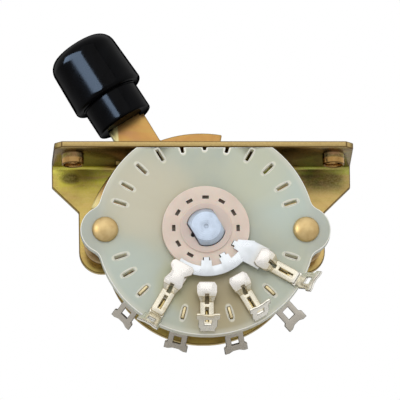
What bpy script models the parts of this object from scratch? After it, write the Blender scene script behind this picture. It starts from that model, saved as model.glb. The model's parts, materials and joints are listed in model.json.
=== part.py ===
"""Three-position lever switch: a bent steel frame, a lever with a barrel tip, and a wafer with clip
contacts on both faces. Metres, +Z up. The origin is on the mounting face, midway between the two tapped
holes, and the wafer looks toward -Y. The lever stands at the end of its throw on the -X side.
"""

import math

import bmesh
import bpy
from mathutils import Matrix

# Fits between pieces
SEAT_GAP = 0.00005  # between faces that rest on each other
PIN_GAP = 0.0001  # round each rivet shank
RUNNING_GAP = 0.00006  # round the shaft where it turns or fits
PRESS_GAP = 0.0001  # round the lever's tongue inside the tip
JAW_GAP = 0.00018  # between a contact leaf and the blade
SLOT_SIDE_GAP = 0.0005  # each side of the lever in the flange slot
SLOT_END_GAP = 0.0014  # beyond the lever at each end of the slot

# Bracket
HOLE_SPACING = 0.0413
FLANGE_LENGTH = 0.0473
FRAME_SHEET = 0.0010
AXIS_DROP = 0.01495  # mounting face down to the shaft's axis
FLANGE_DEPTH = 0.0112  # inner face of the back plate to the flange's front edge
HOLE_SETBACK = 0.0040  # front edge to the tapped holes
CORNER_CHAMFER = 0.0011
BEND_RADIUS = 0.0005  # inside the bend
SHOULDER_TOP = 0.0106  # height above the axis where the plate starts to narrow
SHOULDER_FOOT = 0.00645
PLATE_EAR_RADIUS = 0.0036
PLATE_LOWER_RADIUS = 0.0153
COLLAR_RADIUS = 0.00175
TAP_RADIUS = 0.0014
COLLAR_LENGTH = 0.0018
BUSHING_RADIUS = 0.0041

# Tie rivets and spacers
TIE_SPACING = 0.03175
RIVET_RADIUS = 0.0012
RIVET_DOME_RADIUS = 0.0021
RIVET_DOME_HEIGHT = 0.0012
RIVET_TAIL_RADIUS = 0.0020
RIVET_TAIL_HEIGHT = 0.0007
SPACER_RADIUS = 0.0022

# Shaft and its bearing
SHAFT_RADIUS = 0.0030
SHAFT_HALF_FLAT = 0.00225
SHAFT_NOSE = 0.0020  # how far it stands out of the wafer
NOSE_CHAMFER = 0.0006
CENTRE_MARK = 0.00035
BUSHING_FLANGE = 0.0006
BUSHING_FLANGE_RADIUS = 0.0050
BUSHING_ROLL = 0.0009  # rolled rim behind the plate
WASHER_THICKNESS = 0.00045
WASHER_RADIUS = 0.0048
CLIP_THICKNESS = 0.0004
CLIP_RADIUS = 0.0044
GROOVE_DEPTH = 0.0007
SHAFT_TAIL = 0.0010  # beyond the groove
LOCK_RING_RADIUS = 0.0044
LOCK_RING_RELIEF = 0.0006

# Lever and tip
REST_LEAN = math.radians(30)
DETENT_PITCH = math.radians(30)
LEVER_THICKNESS = 0.0015
ARM_WIDTH = 0.00625
TONGUE_WIDTH = 0.0050
SECTOR_RADIUS = 0.01875
SECTOR_HALF_ANGLE = math.radians(40)
HUB_RADIUS = 0.0125
DETENT_CIRCLE = 0.0100
DETENT_HOLE_RADIUS = 0.00085
TIP_FOOT = 0.0239  # shaft axis to the tip's collar
TIP_STEP = 0.0286
TIP_TOP = 0.0388
TIP_RADIUS = 0.0059  # at the step
TIP_CROWN_RADIUS = 0.0056  # at the top, because the barrel tapers a little
TIP_COLLAR_RADIUS = 0.00468
TIP_ROUNDING = 0.0024
TIP_TILT = math.radians(1.5)  # the tip was pushed on slightly crooked
STEP_ROUNDING = 0.0007
TONGUE_DEPTH = 0.0105  # inside the tip

# Detent spring
SPRING_STANDOFF = 0.0008  # from the lever's hub
SPRING_THICKNESS = 0.0004
SPRING_RING_RADIUS = 0.0074
SPRING_OPENING_RADIUS = 0.0050
SPRING_HALF_WIDTH = 0.0024
SPRING_EYE_RADIUS = 0.0030
DOME_RADIUS = 0.0013
DOME_WALL = 0.00035
DOME_REACH = 0.00105  # dome tip beyond the spring's back face

# Wafer
WAFER_STANDOFF = 0.0109  # inner face of the back plate to the wafer
WAFER_THICKNESS = 0.0016
WAFER_RADIUS = 0.0173
WAFER_FLAT = 0.01355  # axis up to the flat top
WAFER_EAR_RADIUS = 0.0039
WAFER_EAR_BLEND = 0.0020
POSITION_PITCH = math.radians(15)
POSITION_COUNT = 24
EAR_POSITION = math.radians(18)  # the positions beside the ears stand a little away from the rivets
SLOT_INNER = 0.0131
SLOT_OUTER = 0.0152
SLOT_WIDTH = 0.00055

# Rotor and blades
ROTOR_RADIUS = 0.00694
ROTOR_BOSS_RADIUS = 0.0041
ROTOR_BOSS_HEIGHT = 0.0003
SPIGOT_RADIUS = 0.0059
BLADE_LIFT = 0.00095  # wafer face to the blade
BLADE_THICKNESS = 0.0003
BLADE_RADIUS = 0.0080
BLADE_INNER_RADIUS = 0.0060
BLADE_TAIL_RADIUS = 0.0064
TOOTH_RADIUS = 0.0106
TOOTH_HALF_WIDTH = 0.0019
TOOTH_ROOT_ANGLE = math.radians(14)  # each side of the tooth where it leaves the ring
TAB_RADIUS = 0.00508
TAB_LENGTH = 0.0008
TAB_ROOT_WIDTH = 0.0016  # where a tab leaves the ring
TAB_SHOULDER_RADIUS = 0.00545
TAB_THICKNESS = 0.0003
TAB_DROP = 0.0006
POCKET_GAP = 0.00012  # round each tab
BORE_RELIEF = 0.0004  # radius of the notch in the middle of one flat of the rotor's bore
TAB_COUNT = 12
REAR_BLADE_TURN = math.radians(-15)

# Contact clips
LEAF = 0.00035
HEAD_TIP = 0.0086  # axis to the end of a throw contact's jaw
COMMON_TIP = 0.0067
HEAD_TAPER = 0.0006  # length of the jaw's tapered end
HEAD_HALF_WIDTH = 0.0016
HEAD_CREASE = 0.0002  # how far the middle of the jaw is raised
COMMON_HALF_WIDTH = 0.0019
NECK_SETBACK = 0.0003  # blade's tooth to the neck
NECK_HALF_WIDTH = 0.0014
NECK_DROP_LENGTH = 0.0006
BODY_HALF_WIDTH = 0.0011
CREASE_HALF_WIDTH = 0.0005
KEYHOLE_HALF_WIDTH = 0.0003
KEYHOLE_LENGTH = 0.0013
BODY_SLOT_HALF_WIDTH = 0.00028
BODY_SLOT_LENGTH = 0.0024
BODY_SLOT_SETBACK = 0.0008  # from the end of the slot to the lug's root
LUG_ROOT = 0.01565
LUG_LENGTH = 0.0049
LUG_NECK_HALF_WIDTH = 0.0012
LUG_HALF_WIDTH = 0.0015
LUG_HEAD_HALF_WIDTH = 0.00187
WINDOW_HALF_WIDTH = 0.0006
LUG_BEND_RADIUS = 0.0006
STAPLE_PROUD = 0.0003
STAPLE_RECESS = 0.0003  # under the slot in the strips the staple's top lies this far below the wafer's face
RISER_LENGTH = 0.00035  # the outer end of the staple, which joins it to the strips

# Where everything stands along the shaft, measured from the back plate's inner face toward the wafer
LEVER_BACK = BUSHING_FLANGE + WASHER_THICKNESS + 3 * SEAT_GAP
LEVER_FRONT = LEVER_BACK + LEVER_THICKNESS
SPRING_BACK = LEVER_FRONT + SPRING_STANDOFF
SPRING_FRONT = SPRING_BACK + SPRING_THICKNESS
WAFER_FRONT = WAFER_STANDOFF + WAFER_THICKNESS
BUSHING_BACK = -FRAME_SHEET - SEAT_GAP - BUSHING_ROLL
GROOVE_FRONT = BUSHING_BACK - SEAT_GAP / 2
GROOVE_BACK = GROOVE_FRONT - CLIP_THICKNESS - SEAT_GAP
TIE_X = TIE_SPACING / 2

# The shaft frame: X right, Y up, Z out of the back plate toward the wafer, on the shaft's axis
STATION = Matrix.Translation((0, FLANGE_DEPTH - HOLE_SETBACK, -AXIS_DROP)) @ Matrix.Rotation(
    math.radians(90), 4, "X"
)
LEANING = STATION @ Matrix.Rotation(REST_LEAN, 4, "Z")

ARC_STEPS = 28


def clear_scene():
    for obj in list(bpy.data.objects):
        bpy.data.objects.remove(obj)


def collection(name, hidden=False):
    made = bpy.data.collections.new(name)
    bpy.context.scene.collection.children.link(made)
    made.hide_render = hidden
    return made


def material(name, colour, roughness, metallic=0.0):
    made = bpy.data.materials.new(name)
    made.use_nodes = True
    shader = made.node_tree.nodes["Principled BSDF"]
    shader.inputs["Base Color"].default_value = (*colour, 1)
    shader.inputs["Roughness"].default_value = roughness
    shader.inputs["Metallic"].default_value = metallic
    return made


def place(name, mesh, frame, group):
    obj = bpy.data.objects.new(name, mesh)
    obj.matrix_world = frame
    group.objects.link(obj)
    return obj


def finish(obj, colour, roughness, metallic=0.0, smooth_below=32):
    obj.data.materials.clear()
    obj.data.materials.append(material(obj.name, colour, roughness, metallic))
    obj.data.shade_smooth()
    obj.data.set_sharp_from_angle(angle=math.radians(smooth_below))
    return obj


def cut(obj, operation, tool):
    """Joins, cuts or keeps what another solid covers. The tool stays in the cutters collection, in wire."""
    tool.hide_render = True
    tool.display_type = "WIRE"
    step = obj.modifiers.new(tool.name, "BOOLEAN")
    step.operation = operation
    step.solver = "EXACT"
    step.object = tool


def arc(radius, start, end, steps=ARC_STEPS, centre=(0, 0)):
    """Points on an arc, angles in radians from +X, both ends included."""
    turns = [start + (end - start) * i / steps for i in range(steps + 1)]
    return [(centre[0] + radius * math.cos(a), centre[1] + radius * math.sin(a)) for a in turns]


def polar(radius, turn):
    return (radius * math.cos(turn), radius * math.sin(turn))


def circle(radius, centre=(0, 0), steps=ARC_STEPS):
    return arc(radius, 0, 2 * math.pi, steps, centre)[:-1]


def rectangle(x0, x1, y0, y1):
    return [(x0, y0), (x1, y0), (x1, y1), (x0, y1)]


def mirrored(points):
    """The points, then the same ones mirrored in the Y axis in reverse order."""
    return points + [(-x, y) for x, y in reversed(points)]


def double_d(radius, half_flat, steps=10):
    side = math.acos(half_flat / radius)
    return arc(radius, side, math.pi - side, steps) + arc(radius, math.pi + side, 2 * math.pi - side, steps)


def plate_mesh(name, loops, low, high):
    """A flat plate drawn as a filled 2D curve: the first loop is its outline, the others are its holes."""
    curve = bpy.data.curves.new(name, "CURVE")
    curve.dimensions = "2D"
    curve.fill_mode = "BOTH"
    curve.extrude = (high - low) / 2
    for loop in loops:
        spline = curve.splines.new("POLY")
        spline.points.add(len(loop) - 1)
        spline.use_cyclic_u = True
        for point, (x, y) in zip(spline.points, loop):
            point.co = (x, y, 0, 1)
    drawn = bpy.data.objects.new(name, curve)
    bpy.context.scene.collection.objects.link(drawn)
    drawn.location.z = (low + high) / 2
    bpy.context.view_layer.update()
    graph = bpy.context.evaluated_depsgraph_get()
    mesh = bpy.data.meshes.new_from_object(drawn.evaluated_get(graph))
    mesh.transform(drawn.matrix_world)
    bpy.data.objects.remove(drawn)
    bpy.data.curves.remove(curve)
    weld(mesh)
    return mesh


def weld(mesh):
    shape = bmesh.new()
    shape.from_mesh(mesh)
    bmesh.ops.remove_doubles(shape, verts=shape.verts, dist=1e-7)
    bmesh.ops.recalc_face_normals(shape, faces=shape.faces)
    shape.to_mesh(mesh)
    shape.free()


def boxes_mesh(name, boxes):
    """One mesh of boxes, each given as its centre, its size and its turn about Z through the shaft frame."""
    shape = bmesh.new()
    for centre, size, turn in boxes:
        frame = Matrix.Rotation(turn, 4, "Z") @ Matrix.Translation(centre) @ Matrix.Diagonal((*size, 1))
        bmesh.ops.create_cube(shape, size=1, matrix=frame)
    mesh = bpy.data.meshes.new(name)
    shape.to_mesh(mesh)
    shape.free()
    return mesh


def turned(name, profile, frame, group, steps=36):
    """A turned piece: the profile's points are (radius, height), from the top down its outer side."""
    mesh = bpy.data.meshes.new(name)
    points = [(radius, 0, height) for radius, height in profile]
    links = [(i, i + 1) for i in range(len(points) - 1)]
    if profile[0][0] > 0:
        links.append((len(points) - 1, 0))
    mesh.from_pydata(points, links, [])
    obj = place(name, mesh, frame, group)
    spin = obj.modifiers.new("turned", "SCREW")
    spin.steps = steps
    spin.render_steps = steps
    spin.use_merge_vertices = True
    spin.merge_threshold = 1e-6
    spin.use_smooth_shade = True
    return obj


def bend_outline():
    """The frame's section, as (Z, Y): the back plate, the bend and the flange."""
    low = -PLATE_LOWER_RADIUS - FRAME_SHEET
    top = AXIS_DROP
    under = top - FRAME_SHEET
    outer = BEND_RADIUS + FRAME_SHEET
    corner = (BEND_RADIUS, under - BEND_RADIUS)
    outside = arc(outer, math.pi, math.pi / 2, 8, corner)
    inside = arc(BEND_RADIUS, math.pi / 2, math.pi, 8, corner)
    end = FLANGE_DEPTH
    return [(-FRAME_SHEET, low)] + outside + [(end, top), (end, under)] + inside + [(0, low)]


def plate_outline():
    """The back plate seen from the wafer side: square shoulders, two ears and a round lower edge."""
    ear, low = PLATE_EAR_RADIUS, PLATE_LOWER_RADIUS
    meet_x = (low**2 - ear**2 + TIE_X**2) / (2 * TIE_X)
    meet_y = -math.sqrt(low**2 - meet_x**2)
    edge = TIE_X + ear
    slope = edge + SHOULDER_TOP - SHOULDER_FOOT
    side = [(FLANGE_LENGTH / 2, AXIS_DROP + FRAME_SHEET), (FLANGE_LENGTH / 2, SHOULDER_TOP)]
    side += [(slope, SHOULDER_TOP)] if slope < FLANGE_LENGTH / 2 - SEAT_GAP else []
    side += [(edge, SHOULDER_FOOT)]
    side += arc(ear, 0, math.atan2(meet_y, meet_x - TIE_X), 12, (TIE_X, 0))
    side += arc(low, math.atan2(meet_y, meet_x), -math.pi / 2, 24)[1:-1]
    return mirrored(side)


def flange_outline():
    """The flange seen from above, as (X, Z), with its front corners cut off."""
    half, front = FLANGE_LENGTH / 2, FLANGE_DEPTH
    side = [(half, -2 * FRAME_SHEET), (half, front - CORNER_CHAMFER), (half - CORNER_CHAMFER, front)]
    return mirrored(side)


def lever_slot():
    """The slot that the lever swings in, long enough for both ends of its throw."""
    reach = AXIS_DROP * math.tan(REST_LEAN) + ARM_WIDTH / 2 / math.cos(REST_LEAN) + SLOT_END_GAP
    return rectangle(-reach, reach, LEVER_BACK - SLOT_SIDE_GAP, LEVER_FRONT + SLOT_SIDE_GAP)


def make_bracket(group, cutters):
    from_above = STATION @ Matrix.Rotation(math.radians(-90), 4, "X")
    width = FLANGE_LENGTH / 2 + FRAME_SHEET
    mesh = plate_mesh("bracket", [bend_outline()], -width, width)
    mesh.transform(Matrix.Rotation(math.radians(-90), 4, "Y"))
    bracket = place("bracket", mesh, STATION, group)
    ears = [circle(RIVET_RADIUS + PIN_GAP, (x, 0), 18) for x in (-TIE_X, TIE_X)]
    holes = [circle(BUSHING_RADIUS + SEAT_GAP), *ears]
    face = plate_mesh("bracket_face", [plate_outline(), *holes], -2 * FRAME_SHEET, 2 * FLANGE_DEPTH)
    cut(bracket, "INTERSECT", place("bracket_face", face, STATION, cutters))
    top = 2 * AXIS_DROP
    plan = [[(x, -z) for x, z in loop] for loop in (flange_outline(), lever_slot())]
    plan_mesh = plate_mesh("bracket_plan", plan, -top, top)
    cut(bracket, "INTERSECT", place("bracket_plan", plan_mesh, from_above, cutters))
    under = AXIS_DROP - FRAME_SHEET
    low, middle = under - COLLAR_LENGTH, under + FRAME_SHEET / 2
    for side, name in ((-1, "left"), (1, "right")):
        spot = (side * HOLE_SPACING / 2, HOLE_SETBACK - FLANGE_DEPTH)
        collar = plate_mesh("collar_" + name, [circle(COLLAR_RADIUS, spot, 20)], low, middle)
        cut(bracket, "UNION", place("collar_" + name, collar, from_above, cutters))
        tap = plate_mesh("tap_" + name, [circle(TAP_RADIUS, spot, 20)], low - COLLAR_LENGTH, top)
        cut(bracket, "DIFFERENCE", place("tap_" + name, tap, from_above, cutters))
    return finish(bracket, (0.52, 0.38, 0.14), 0.35, 1.0)


def make_shaft_parts(group, cutters):
    nose = WAFER_FRONT + SHAFT_NOSE
    end = GROOVE_BACK - SHAFT_TAIL
    groove = SHAFT_RADIUS - GROOVE_DEPTH
    profile = [(0, nose - CENTRE_MARK), (CENTRE_MARK, nose), (SHAFT_RADIUS - NOSE_CHAMFER, nose)]
    profile += [(SHAFT_RADIUS, nose - NOSE_CHAMFER), (SHAFT_RADIUS, GROOVE_FRONT), (groove, GROOVE_FRONT)]
    profile += [(groove, GROOVE_BACK), (SHAFT_RADIUS, GROOVE_BACK), (SHAFT_RADIUS, end + CENTRE_MARK)]
    profile += [(SHAFT_RADIUS - CENTRE_MARK, end), (0, end)]
    shaft = turned("shaft", profile, LEANING, group)
    start = LEVER_BACK - SEAT_GAP
    length = nose - start + SHAFT_RADIUS
    size = (SHAFT_RADIUS, 3 * SHAFT_RADIUS, length)
    sides = [((s * (SHAFT_HALF_FLAT + size[0] / 2), 0, start + length / 2), size, 0) for s in (-1, 1)]
    cut(shaft, "DIFFERENCE", place("shaft_flats", boxes_mesh("shaft_flats", sides), LEANING, cutters))
    finish(shaft, (0.45, 0.50, 0.58), 0.25, 1.0)

    bore = SHAFT_RADIUS + RUNNING_GAP
    front = SEAT_GAP + BUSHING_FLANGE
    rim = BUSHING_BACK + BUSHING_ROLL
    outer = BUSHING_FLANGE_RADIUS
    profile = [(bore, front), (outer, front), (outer, SEAT_GAP), (BUSHING_RADIUS, SEAT_GAP)]
    profile += [(BUSHING_RADIUS, rim), (outer, rim), (outer - BUSHING_ROLL / 2, BUSHING_BACK)]
    profile += [(bore, BUSHING_BACK)]
    finish(turned("shaft_bushing", profile, STATION, group), (0.60, 0.44, 0.20), 0.3, 1.0)

    top = LEVER_BACK - SEAT_GAP
    bottom = top - WASHER_THICKNESS
    washer = [(bore, top), (WASHER_RADIUS, top), (WASHER_RADIUS, bottom), (bore, bottom)]
    finish(turned("thrust_washer", washer, LEANING, group), (0.55, 0.56, 0.58), 0.35, 1.0)

    open_angle = math.radians(35)
    start, stop = -math.pi / 2 + open_angle, 1.5 * math.pi - open_angle
    ring = arc(CLIP_RADIUS, start, stop, 26) + arc(groove + RUNNING_GAP, stop, start, 20)
    face = GROOVE_FRONT - SEAT_GAP / 2
    clip = plate_mesh("retaining_ring", [ring], face - CLIP_THICKNESS, face)
    finish(place("retaining_ring", clip, LEANING, group), (0.20, 0.20, 0.21), 0.4, 1.0)

    inner = []
    tooth = math.radians(21)
    for start in [i * math.pi / 3 for i in range(6)]:
        inner += arc(bore, start - tooth, start + tooth, 3)
        inner += arc(bore + LOCK_RING_RELIEF, start + 1.15 * tooth, start + math.pi / 3 - 1.15 * tooth, 2)
    face = LEVER_FRONT + SEAT_GAP
    lock = plate_mesh("lever_lock_ring", [circle(LOCK_RING_RADIUS), inner], face, face + CLIP_THICKNESS)
    finish(place("lever_lock_ring", lock, LEANING, group), (0.48, 0.50, 0.52), 0.3, 1.0)


def lever_outline():
    """Arm along +Y. The hub is round, with a wider sector each side of the arm."""
    half, tongue = ARM_WIDTH / 2, TONGUE_WIDTH / 2
    foot, end = TIP_FOOT - PRESS_GAP, TIP_FOOT + TONGUE_DEPTH - PRESS_GAP
    side = [(tongue - PRESS_GAP, end), (tongue, end - PRESS_GAP), (tongue, foot), (half, foot)]
    start = math.pi / 2 - math.asin(half / SECTOR_RADIUS)
    step = math.pi / 2 - SECTOR_HALF_ANGLE
    side += arc(SECTOR_RADIUS, start, step, 10)
    side += arc(HUB_RADIUS, step, -math.pi / 2, 26)[:-1]
    return mirrored(side)


def make_lever(group, cutters):
    hole = double_d(SHAFT_RADIUS + RUNNING_GAP, SHAFT_HALF_FLAT + RUNNING_GAP)
    turns = [side - REST_LEAN + stop * DETENT_PITCH for side in (0, math.pi) for stop in range(3)]
    detents = [circle(DETENT_HOLE_RADIUS, polar(DETENT_CIRCLE, turn), 14) for turn in turns]
    mesh = plate_mesh("lever", [lever_outline(), hole, *detents], LEVER_BACK, LEVER_FRONT)
    finish(place("lever", mesh, LEANING, group), (0.52, 0.38, 0.14), 0.35, 1.0)

    crown = [(0, TIP_TOP)]
    edge = (TIP_CROWN_RADIUS - TIP_ROUNDING, TIP_TOP - 0.05 * TIP_RADIUS - TIP_ROUNDING)
    crown += arc(TIP_ROUNDING, math.radians(84), 0, 5, edge)
    heel = (TIP_RADIUS - STEP_ROUNDING, TIP_STEP + STEP_ROUNDING)
    step = arc(STEP_ROUNDING, 0, -math.pi / 2, 3, heel)
    foot = (TIP_COLLAR_RADIUS - STEP_ROUNDING / 2, TIP_FOOT + STEP_ROUNDING / 2)
    collar = [(TIP_COLLAR_RADIUS, TIP_STEP)] + arc(STEP_ROUNDING / 2, 0, -math.pi / 2, 2, foot)
    middle = (LEVER_BACK + LEVER_FRONT) / 2
    stand = Matrix.Rotation(math.radians(-90), 4, "X")
    foot_frame = LEANING @ Matrix.Translation((0, TIP_FOOT, middle))
    upright = foot_frame @ stand @ Matrix.Translation((0, 0, -TIP_FOOT))
    tilted = foot_frame @ Matrix.Rotation(TIP_TILT, 4, "Z") @ stand @ Matrix.Translation((0, 0, -TIP_FOOT))
    tip = turned("lever_tip", crown + step + collar + [(0, TIP_FOOT)], tilted, group)
    depth = 2 * TONGUE_DEPTH
    size = (TONGUE_WIDTH + 2 * PRESS_GAP, LEVER_THICKNESS + 2 * PRESS_GAP, depth)
    pocket = boxes_mesh("tip_pocket", [((0, 0, TIP_FOOT + TONGUE_DEPTH - depth / 2), size, 0)])
    cut(tip, "DIFFERENCE", place("tip_pocket", pocket, upright, cutters))
    finish(tip, (0.012, 0.012, 0.014), 0.12)


def spring_outline():
    """A ring round the shaft, with an arm each side that ends in an eye on the tie rivet."""
    half, eye, ring = SPRING_HALF_WIDTH, SPRING_EYE_RADIUS, SPRING_RING_RADIUS
    leave = math.asin(half / ring)
    reach = math.asin(half / eye)
    side = arc(ring, math.pi / 2, leave, 14)
    side += arc(eye, math.pi - reach, reach - math.pi, 20, (TIE_X, 0))
    side += arc(ring, -leave, -math.pi / 2, 14)[:-1]
    return mirrored(side[1:])


def ball_profile(radius):
    side = [polar(radius, math.radians(turn)) for turn in range(60, -90, -30)]
    return [(0, radius), *side, (0, -radius)]


def make_detent_spring(group, cutters):
    eyes = [circle(RIVET_RADIUS + PIN_GAP, (x, 0), 18) for x in (-TIE_X, TIE_X)]
    loops = [spring_outline(), circle(SPRING_OPENING_RADIUS), *eyes]
    mesh = plate_mesh("detent_spring", loops, SPRING_BACK, SPRING_FRONT)
    spring = place("detent_spring", mesh, STATION, group)
    centre = SPRING_BACK - DOME_REACH + DOME_RADIUS
    lift = Matrix.Translation((0, 0, SPRING_FRONT - centre - SPRING_THICKNESS / 2))
    wide = 4 * DOME_RADIUS
    for side, name in ((-1, "left"), (1, "right")):
        spot = STATION @ Matrix.Translation((side * DETENT_CIRCLE, 0, centre))
        dome = turned("dome_" + name, ball_profile(DOME_RADIUS), spot, cutters, 16)
        cap = boxes_mesh("cap_" + name, [((0, 0, -wide / 2), (wide, wide, wide), 0)])
        cut(dome, "INTERSECT", place("cap_" + name, cap, spot @ lift, cutters))
        cut(spring, "UNION", dome)
        hollow = turned("dimple_" + name, ball_profile(DOME_RADIUS - DOME_WALL), spot, cutters, 16)
        cut(spring, "DIFFERENCE", hollow)
    return finish(spring, (0.50, 0.52, 0.54), 0.3, 1.0)


def make_ties(group):
    shank = RIVET_RADIUS
    for side, name in ((-1, "left"), (1, "right")):
        frame = STATION @ Matrix.Translation((side * TIE_X, 0, 0))
        tube = shank + PIN_GAP
        for low, high, where in (
            (0, SPRING_BACK, "rear"),
            (SPRING_FRONT, WAFER_STANDOFF, "front"),
        ):
            top, bottom = high - SEAT_GAP, low + SEAT_GAP
            profile = [(tube, top), (SPACER_RADIUS, top), (SPACER_RADIUS, bottom), (tube, bottom)]
            spacer = turned("spacer_" + where + "_" + name, profile, frame, group, 24)
            finish(spacer, (0.58, 0.46, 0.22), 0.3, 1.0)
        seat = WAFER_FRONT + SEAT_GAP
        dome = [(r * RIVET_DOME_RADIUS, seat + h * RIVET_DOME_HEIGHT) for h, r in arc(1, 0, math.pi / 2, 5)]
        tail = -FRAME_SHEET - SEAT_GAP
        back = tail - RIVET_TAIL_HEIGHT
        profile = [(0, dome[0][1])] + dome[1:] + [(shank, seat), (shank, tail), (RIVET_TAIL_RADIUS, tail)]
        profile += [(RIVET_TAIL_RADIUS - RIVET_TAIL_HEIGHT / 2, back), (0, back)]
        finish(turned("tie_rivet_" + name, profile, frame, group, 24), (0.72, 0.52, 0.22), 0.28, 1.0)


def wafer_outline():
    """Round, cut flat on top, with an ear each side that blends into the round edge."""
    body, ear, blend = WAFER_RADIUS, WAFER_EAR_RADIUS, WAFER_EAR_BLEND
    x = ((body + blend) ** 2 - (ear + blend) ** 2 + TIE_X**2) / (2 * TIE_X)
    y = math.sqrt((body + blend) ** 2 - x**2)
    at_body = math.atan2(y, x)
    at_ear = math.atan2(y, x - TIE_X)
    flat = math.asin(WAFER_FLAT / body)
    side = arc(body, flat, at_body, 14)
    side += arc(blend, math.pi + at_body, math.pi + at_ear, 4, (x, y))[1:]
    side += arc(ear, at_ear, -at_ear, 18, (TIE_X, 0))[1:]
    side += arc(blend, math.pi - at_ear, math.pi - at_body, 4, (x, -y))[1:]
    side += arc(body, -at_body, -math.pi / 2, 24)[1:-1]
    return mirrored(side)


def make_wafer(group, cutters):
    holes = [circle(RIVET_RADIUS + PIN_GAP, (x, 0), 18) for x in (-TIE_X, TIE_X)]
    loops = [wafer_outline(), circle(SPIGOT_RADIUS + RUNNING_GAP, steps=44), *holes]
    wafer = place("wafer", plate_mesh("wafer", loops, WAFER_STANDOFF, WAFER_FRONT), STATION, group)
    centre = ((SLOT_INNER + SLOT_OUTER) / 2, 0, (WAFER_STANDOFF + WAFER_FRONT) / 2)
    size = (SLOT_OUTER - SLOT_INNER, SLOT_WIDTH, 2 * WAFER_THICKNESS)
    quarter = POSITION_COUNT // 4
    turns = [max(i * POSITION_PITCH, EAR_POSITION) for i in range(1, quarter + 1)]
    turns += [math.pi - turn for turn in turns[:-1]]
    turns += [-turn for turn in turns]
    slots = boxes_mesh("wafer_slots", [(centre, size, turn) for turn in turns])
    cut(wafer, "DIFFERENCE", place("wafer_slots", slots, STATION, cutters))
    return finish(wafer, (0.55, 0.56, 0.44), 0.5)


def tab_pockets(name, low, high, start):
    size = (TAB_THICKNESS + 2 * POCKET_GAP, TAB_LENGTH + 2 * POCKET_GAP, high - low)
    turns = [start + i * 2 * math.pi / TAB_COUNT for i in range(TAB_COUNT)]
    return boxes_mesh(name, [((TAB_RADIUS, 0, (low + high) / 2), size, turn) for turn in turns])


def make_rotor_half(name, frame, spigot, group, cutters):
    """Height runs away from the wafer's face. Only the front half has the spigot through the wafer."""
    seat = SEAT_GAP
    face = BLADE_LIFT - SEAT_GAP
    top = face + ROTOR_BOSS_HEIGHT
    edge = ROTOR_BOSS_HEIGHT / 3
    profile = [(0, top), (ROTOR_BOSS_RADIUS - edge, top), (ROTOR_BOSS_RADIUS, top - edge)]
    profile += [(ROTOR_BOSS_RADIUS, face), (ROTOR_RADIUS - edge, face), (ROTOR_RADIUS, face - edge)]
    profile += [(ROTOR_RADIUS, seat)]
    if spigot:
        profile += [(SPIGOT_RADIUS, seat), (SPIGOT_RADIUS, -WAFER_THICKNESS)]
    profile += [(0, profile[-1][1])]
    rotor = turned(name, profile, frame, group, 44)
    gap = RUNNING_GAP + SEAT_GAP
    hole = double_d(SHAFT_RADIUS + gap, SHAFT_HALF_FLAT + gap)
    deep = 3 * WAFER_THICKNESS
    bore_mesh = plate_mesh(name + "_hole", [hole], -deep, deep)
    cut(rotor, "DIFFERENCE", place(name + "_hole", bore_mesh, frame, cutters))
    notch = circle(BORE_RELIEF, (-SHAFT_HALF_FLAT - gap, 0), 12)
    notch_mesh = plate_mesh(name + "_relief", [notch], -deep, deep)
    cut(rotor, "DIFFERENCE", place(name + "_relief", notch_mesh, frame, cutters))
    start = 0 if spigot else REAR_BLADE_TURN
    pockets = tab_pockets(name + "_pockets", face - TAB_DROP - SEAT_GAP, deep, start)
    cut(rotor, "DIFFERENCE", place(name + "_pockets", pockets, frame, cutters))
    return finish(rotor, (0.72, 0.60, 0.52), 0.45)


def blade_outline():
    """Ring sector with one tooth and a narrow tail. Its inner edge has three tabs with notches between them.
    Angles are as seen with the arm at 90."""
    deg = math.radians
    tooth = math.asin(TOOTH_HALF_WIDTH / TOOTH_RADIUS)
    root = math.asin(TAB_ROOT_WIDTH / 2 / BLADE_INNER_RADIUS)
    shoulder = math.asin(TAB_ROOT_WIDTH / 2 / TAB_SHOULDER_RADIUS)
    narrow = math.asin(TAB_LENGTH / 2 / TAB_SHOULDER_RADIUS)
    end = math.asin(TAB_LENGTH / 2 / TAB_RADIUS)
    reach = TAB_RADIUS - TAB_THICKNESS / 2
    points = arc(BLADE_RADIUS, deg(202), deg(300) - TOOTH_ROOT_ANGLE, 20)
    points += arc(TOOTH_RADIUS, deg(300) - tooth, deg(300) + tooth, 5)
    points += arc(BLADE_RADIUS, deg(313), deg(314), 1)
    inside = []
    for turn in (deg(300), deg(270), deg(240)):
        inside.append(polar(BLADE_TAIL_RADIUS, turn + root))
        inside.append(polar(TAB_SHOULDER_RADIUS, turn + shoulder))
        inside.append(polar(TAB_SHOULDER_RADIUS, turn + narrow))
        inside += arc(reach, turn + end, turn - end, 2)
        inside.append(polar(TAB_SHOULDER_RADIUS, turn - narrow))
        inside.append(polar(TAB_SHOULDER_RADIUS, turn - shoulder))
        inside += arc(BLADE_TAIL_RADIUS, turn - root, turn - deg(30) + root, 4)[:-1]
    inside[0] = polar(BLADE_TAIL_RADIUS, deg(311))
    return points + inside + arc(BLADE_TAIL_RADIUS, deg(218), deg(202), 5)


def make_blade(name, frame, side, group, cutters):
    """Side is 1 for the front face of the wafer and -1 for the rear face, where the blade is its mirror."""
    near, far = side * BLADE_LIFT, side * (BLADE_LIFT + BLADE_THICKNESS)
    blade = place(name, plate_mesh(name, [blade_outline()], min(near, far), max(near, far)), frame, group)
    root = side * (BLADE_LIFT - SEAT_GAP - TAB_DROP)
    top = near + side * 0.8 * BLADE_THICKNESS
    middle, drop = (root + top) / 2, abs(top - root)
    size = (TAB_THICKNESS, TAB_LENGTH, drop)
    spots = [((TAB_RADIUS, 0, middle), size, math.radians(turn)) for turn in (240, 270, 300)]
    cut(blade, "UNION", place(name + "_tabs", boxes_mesh(name + "_tabs", spots), frame, cutters))
    return finish(blade, (0.72, 0.72, 0.72), 0.2, 1.0)


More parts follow.
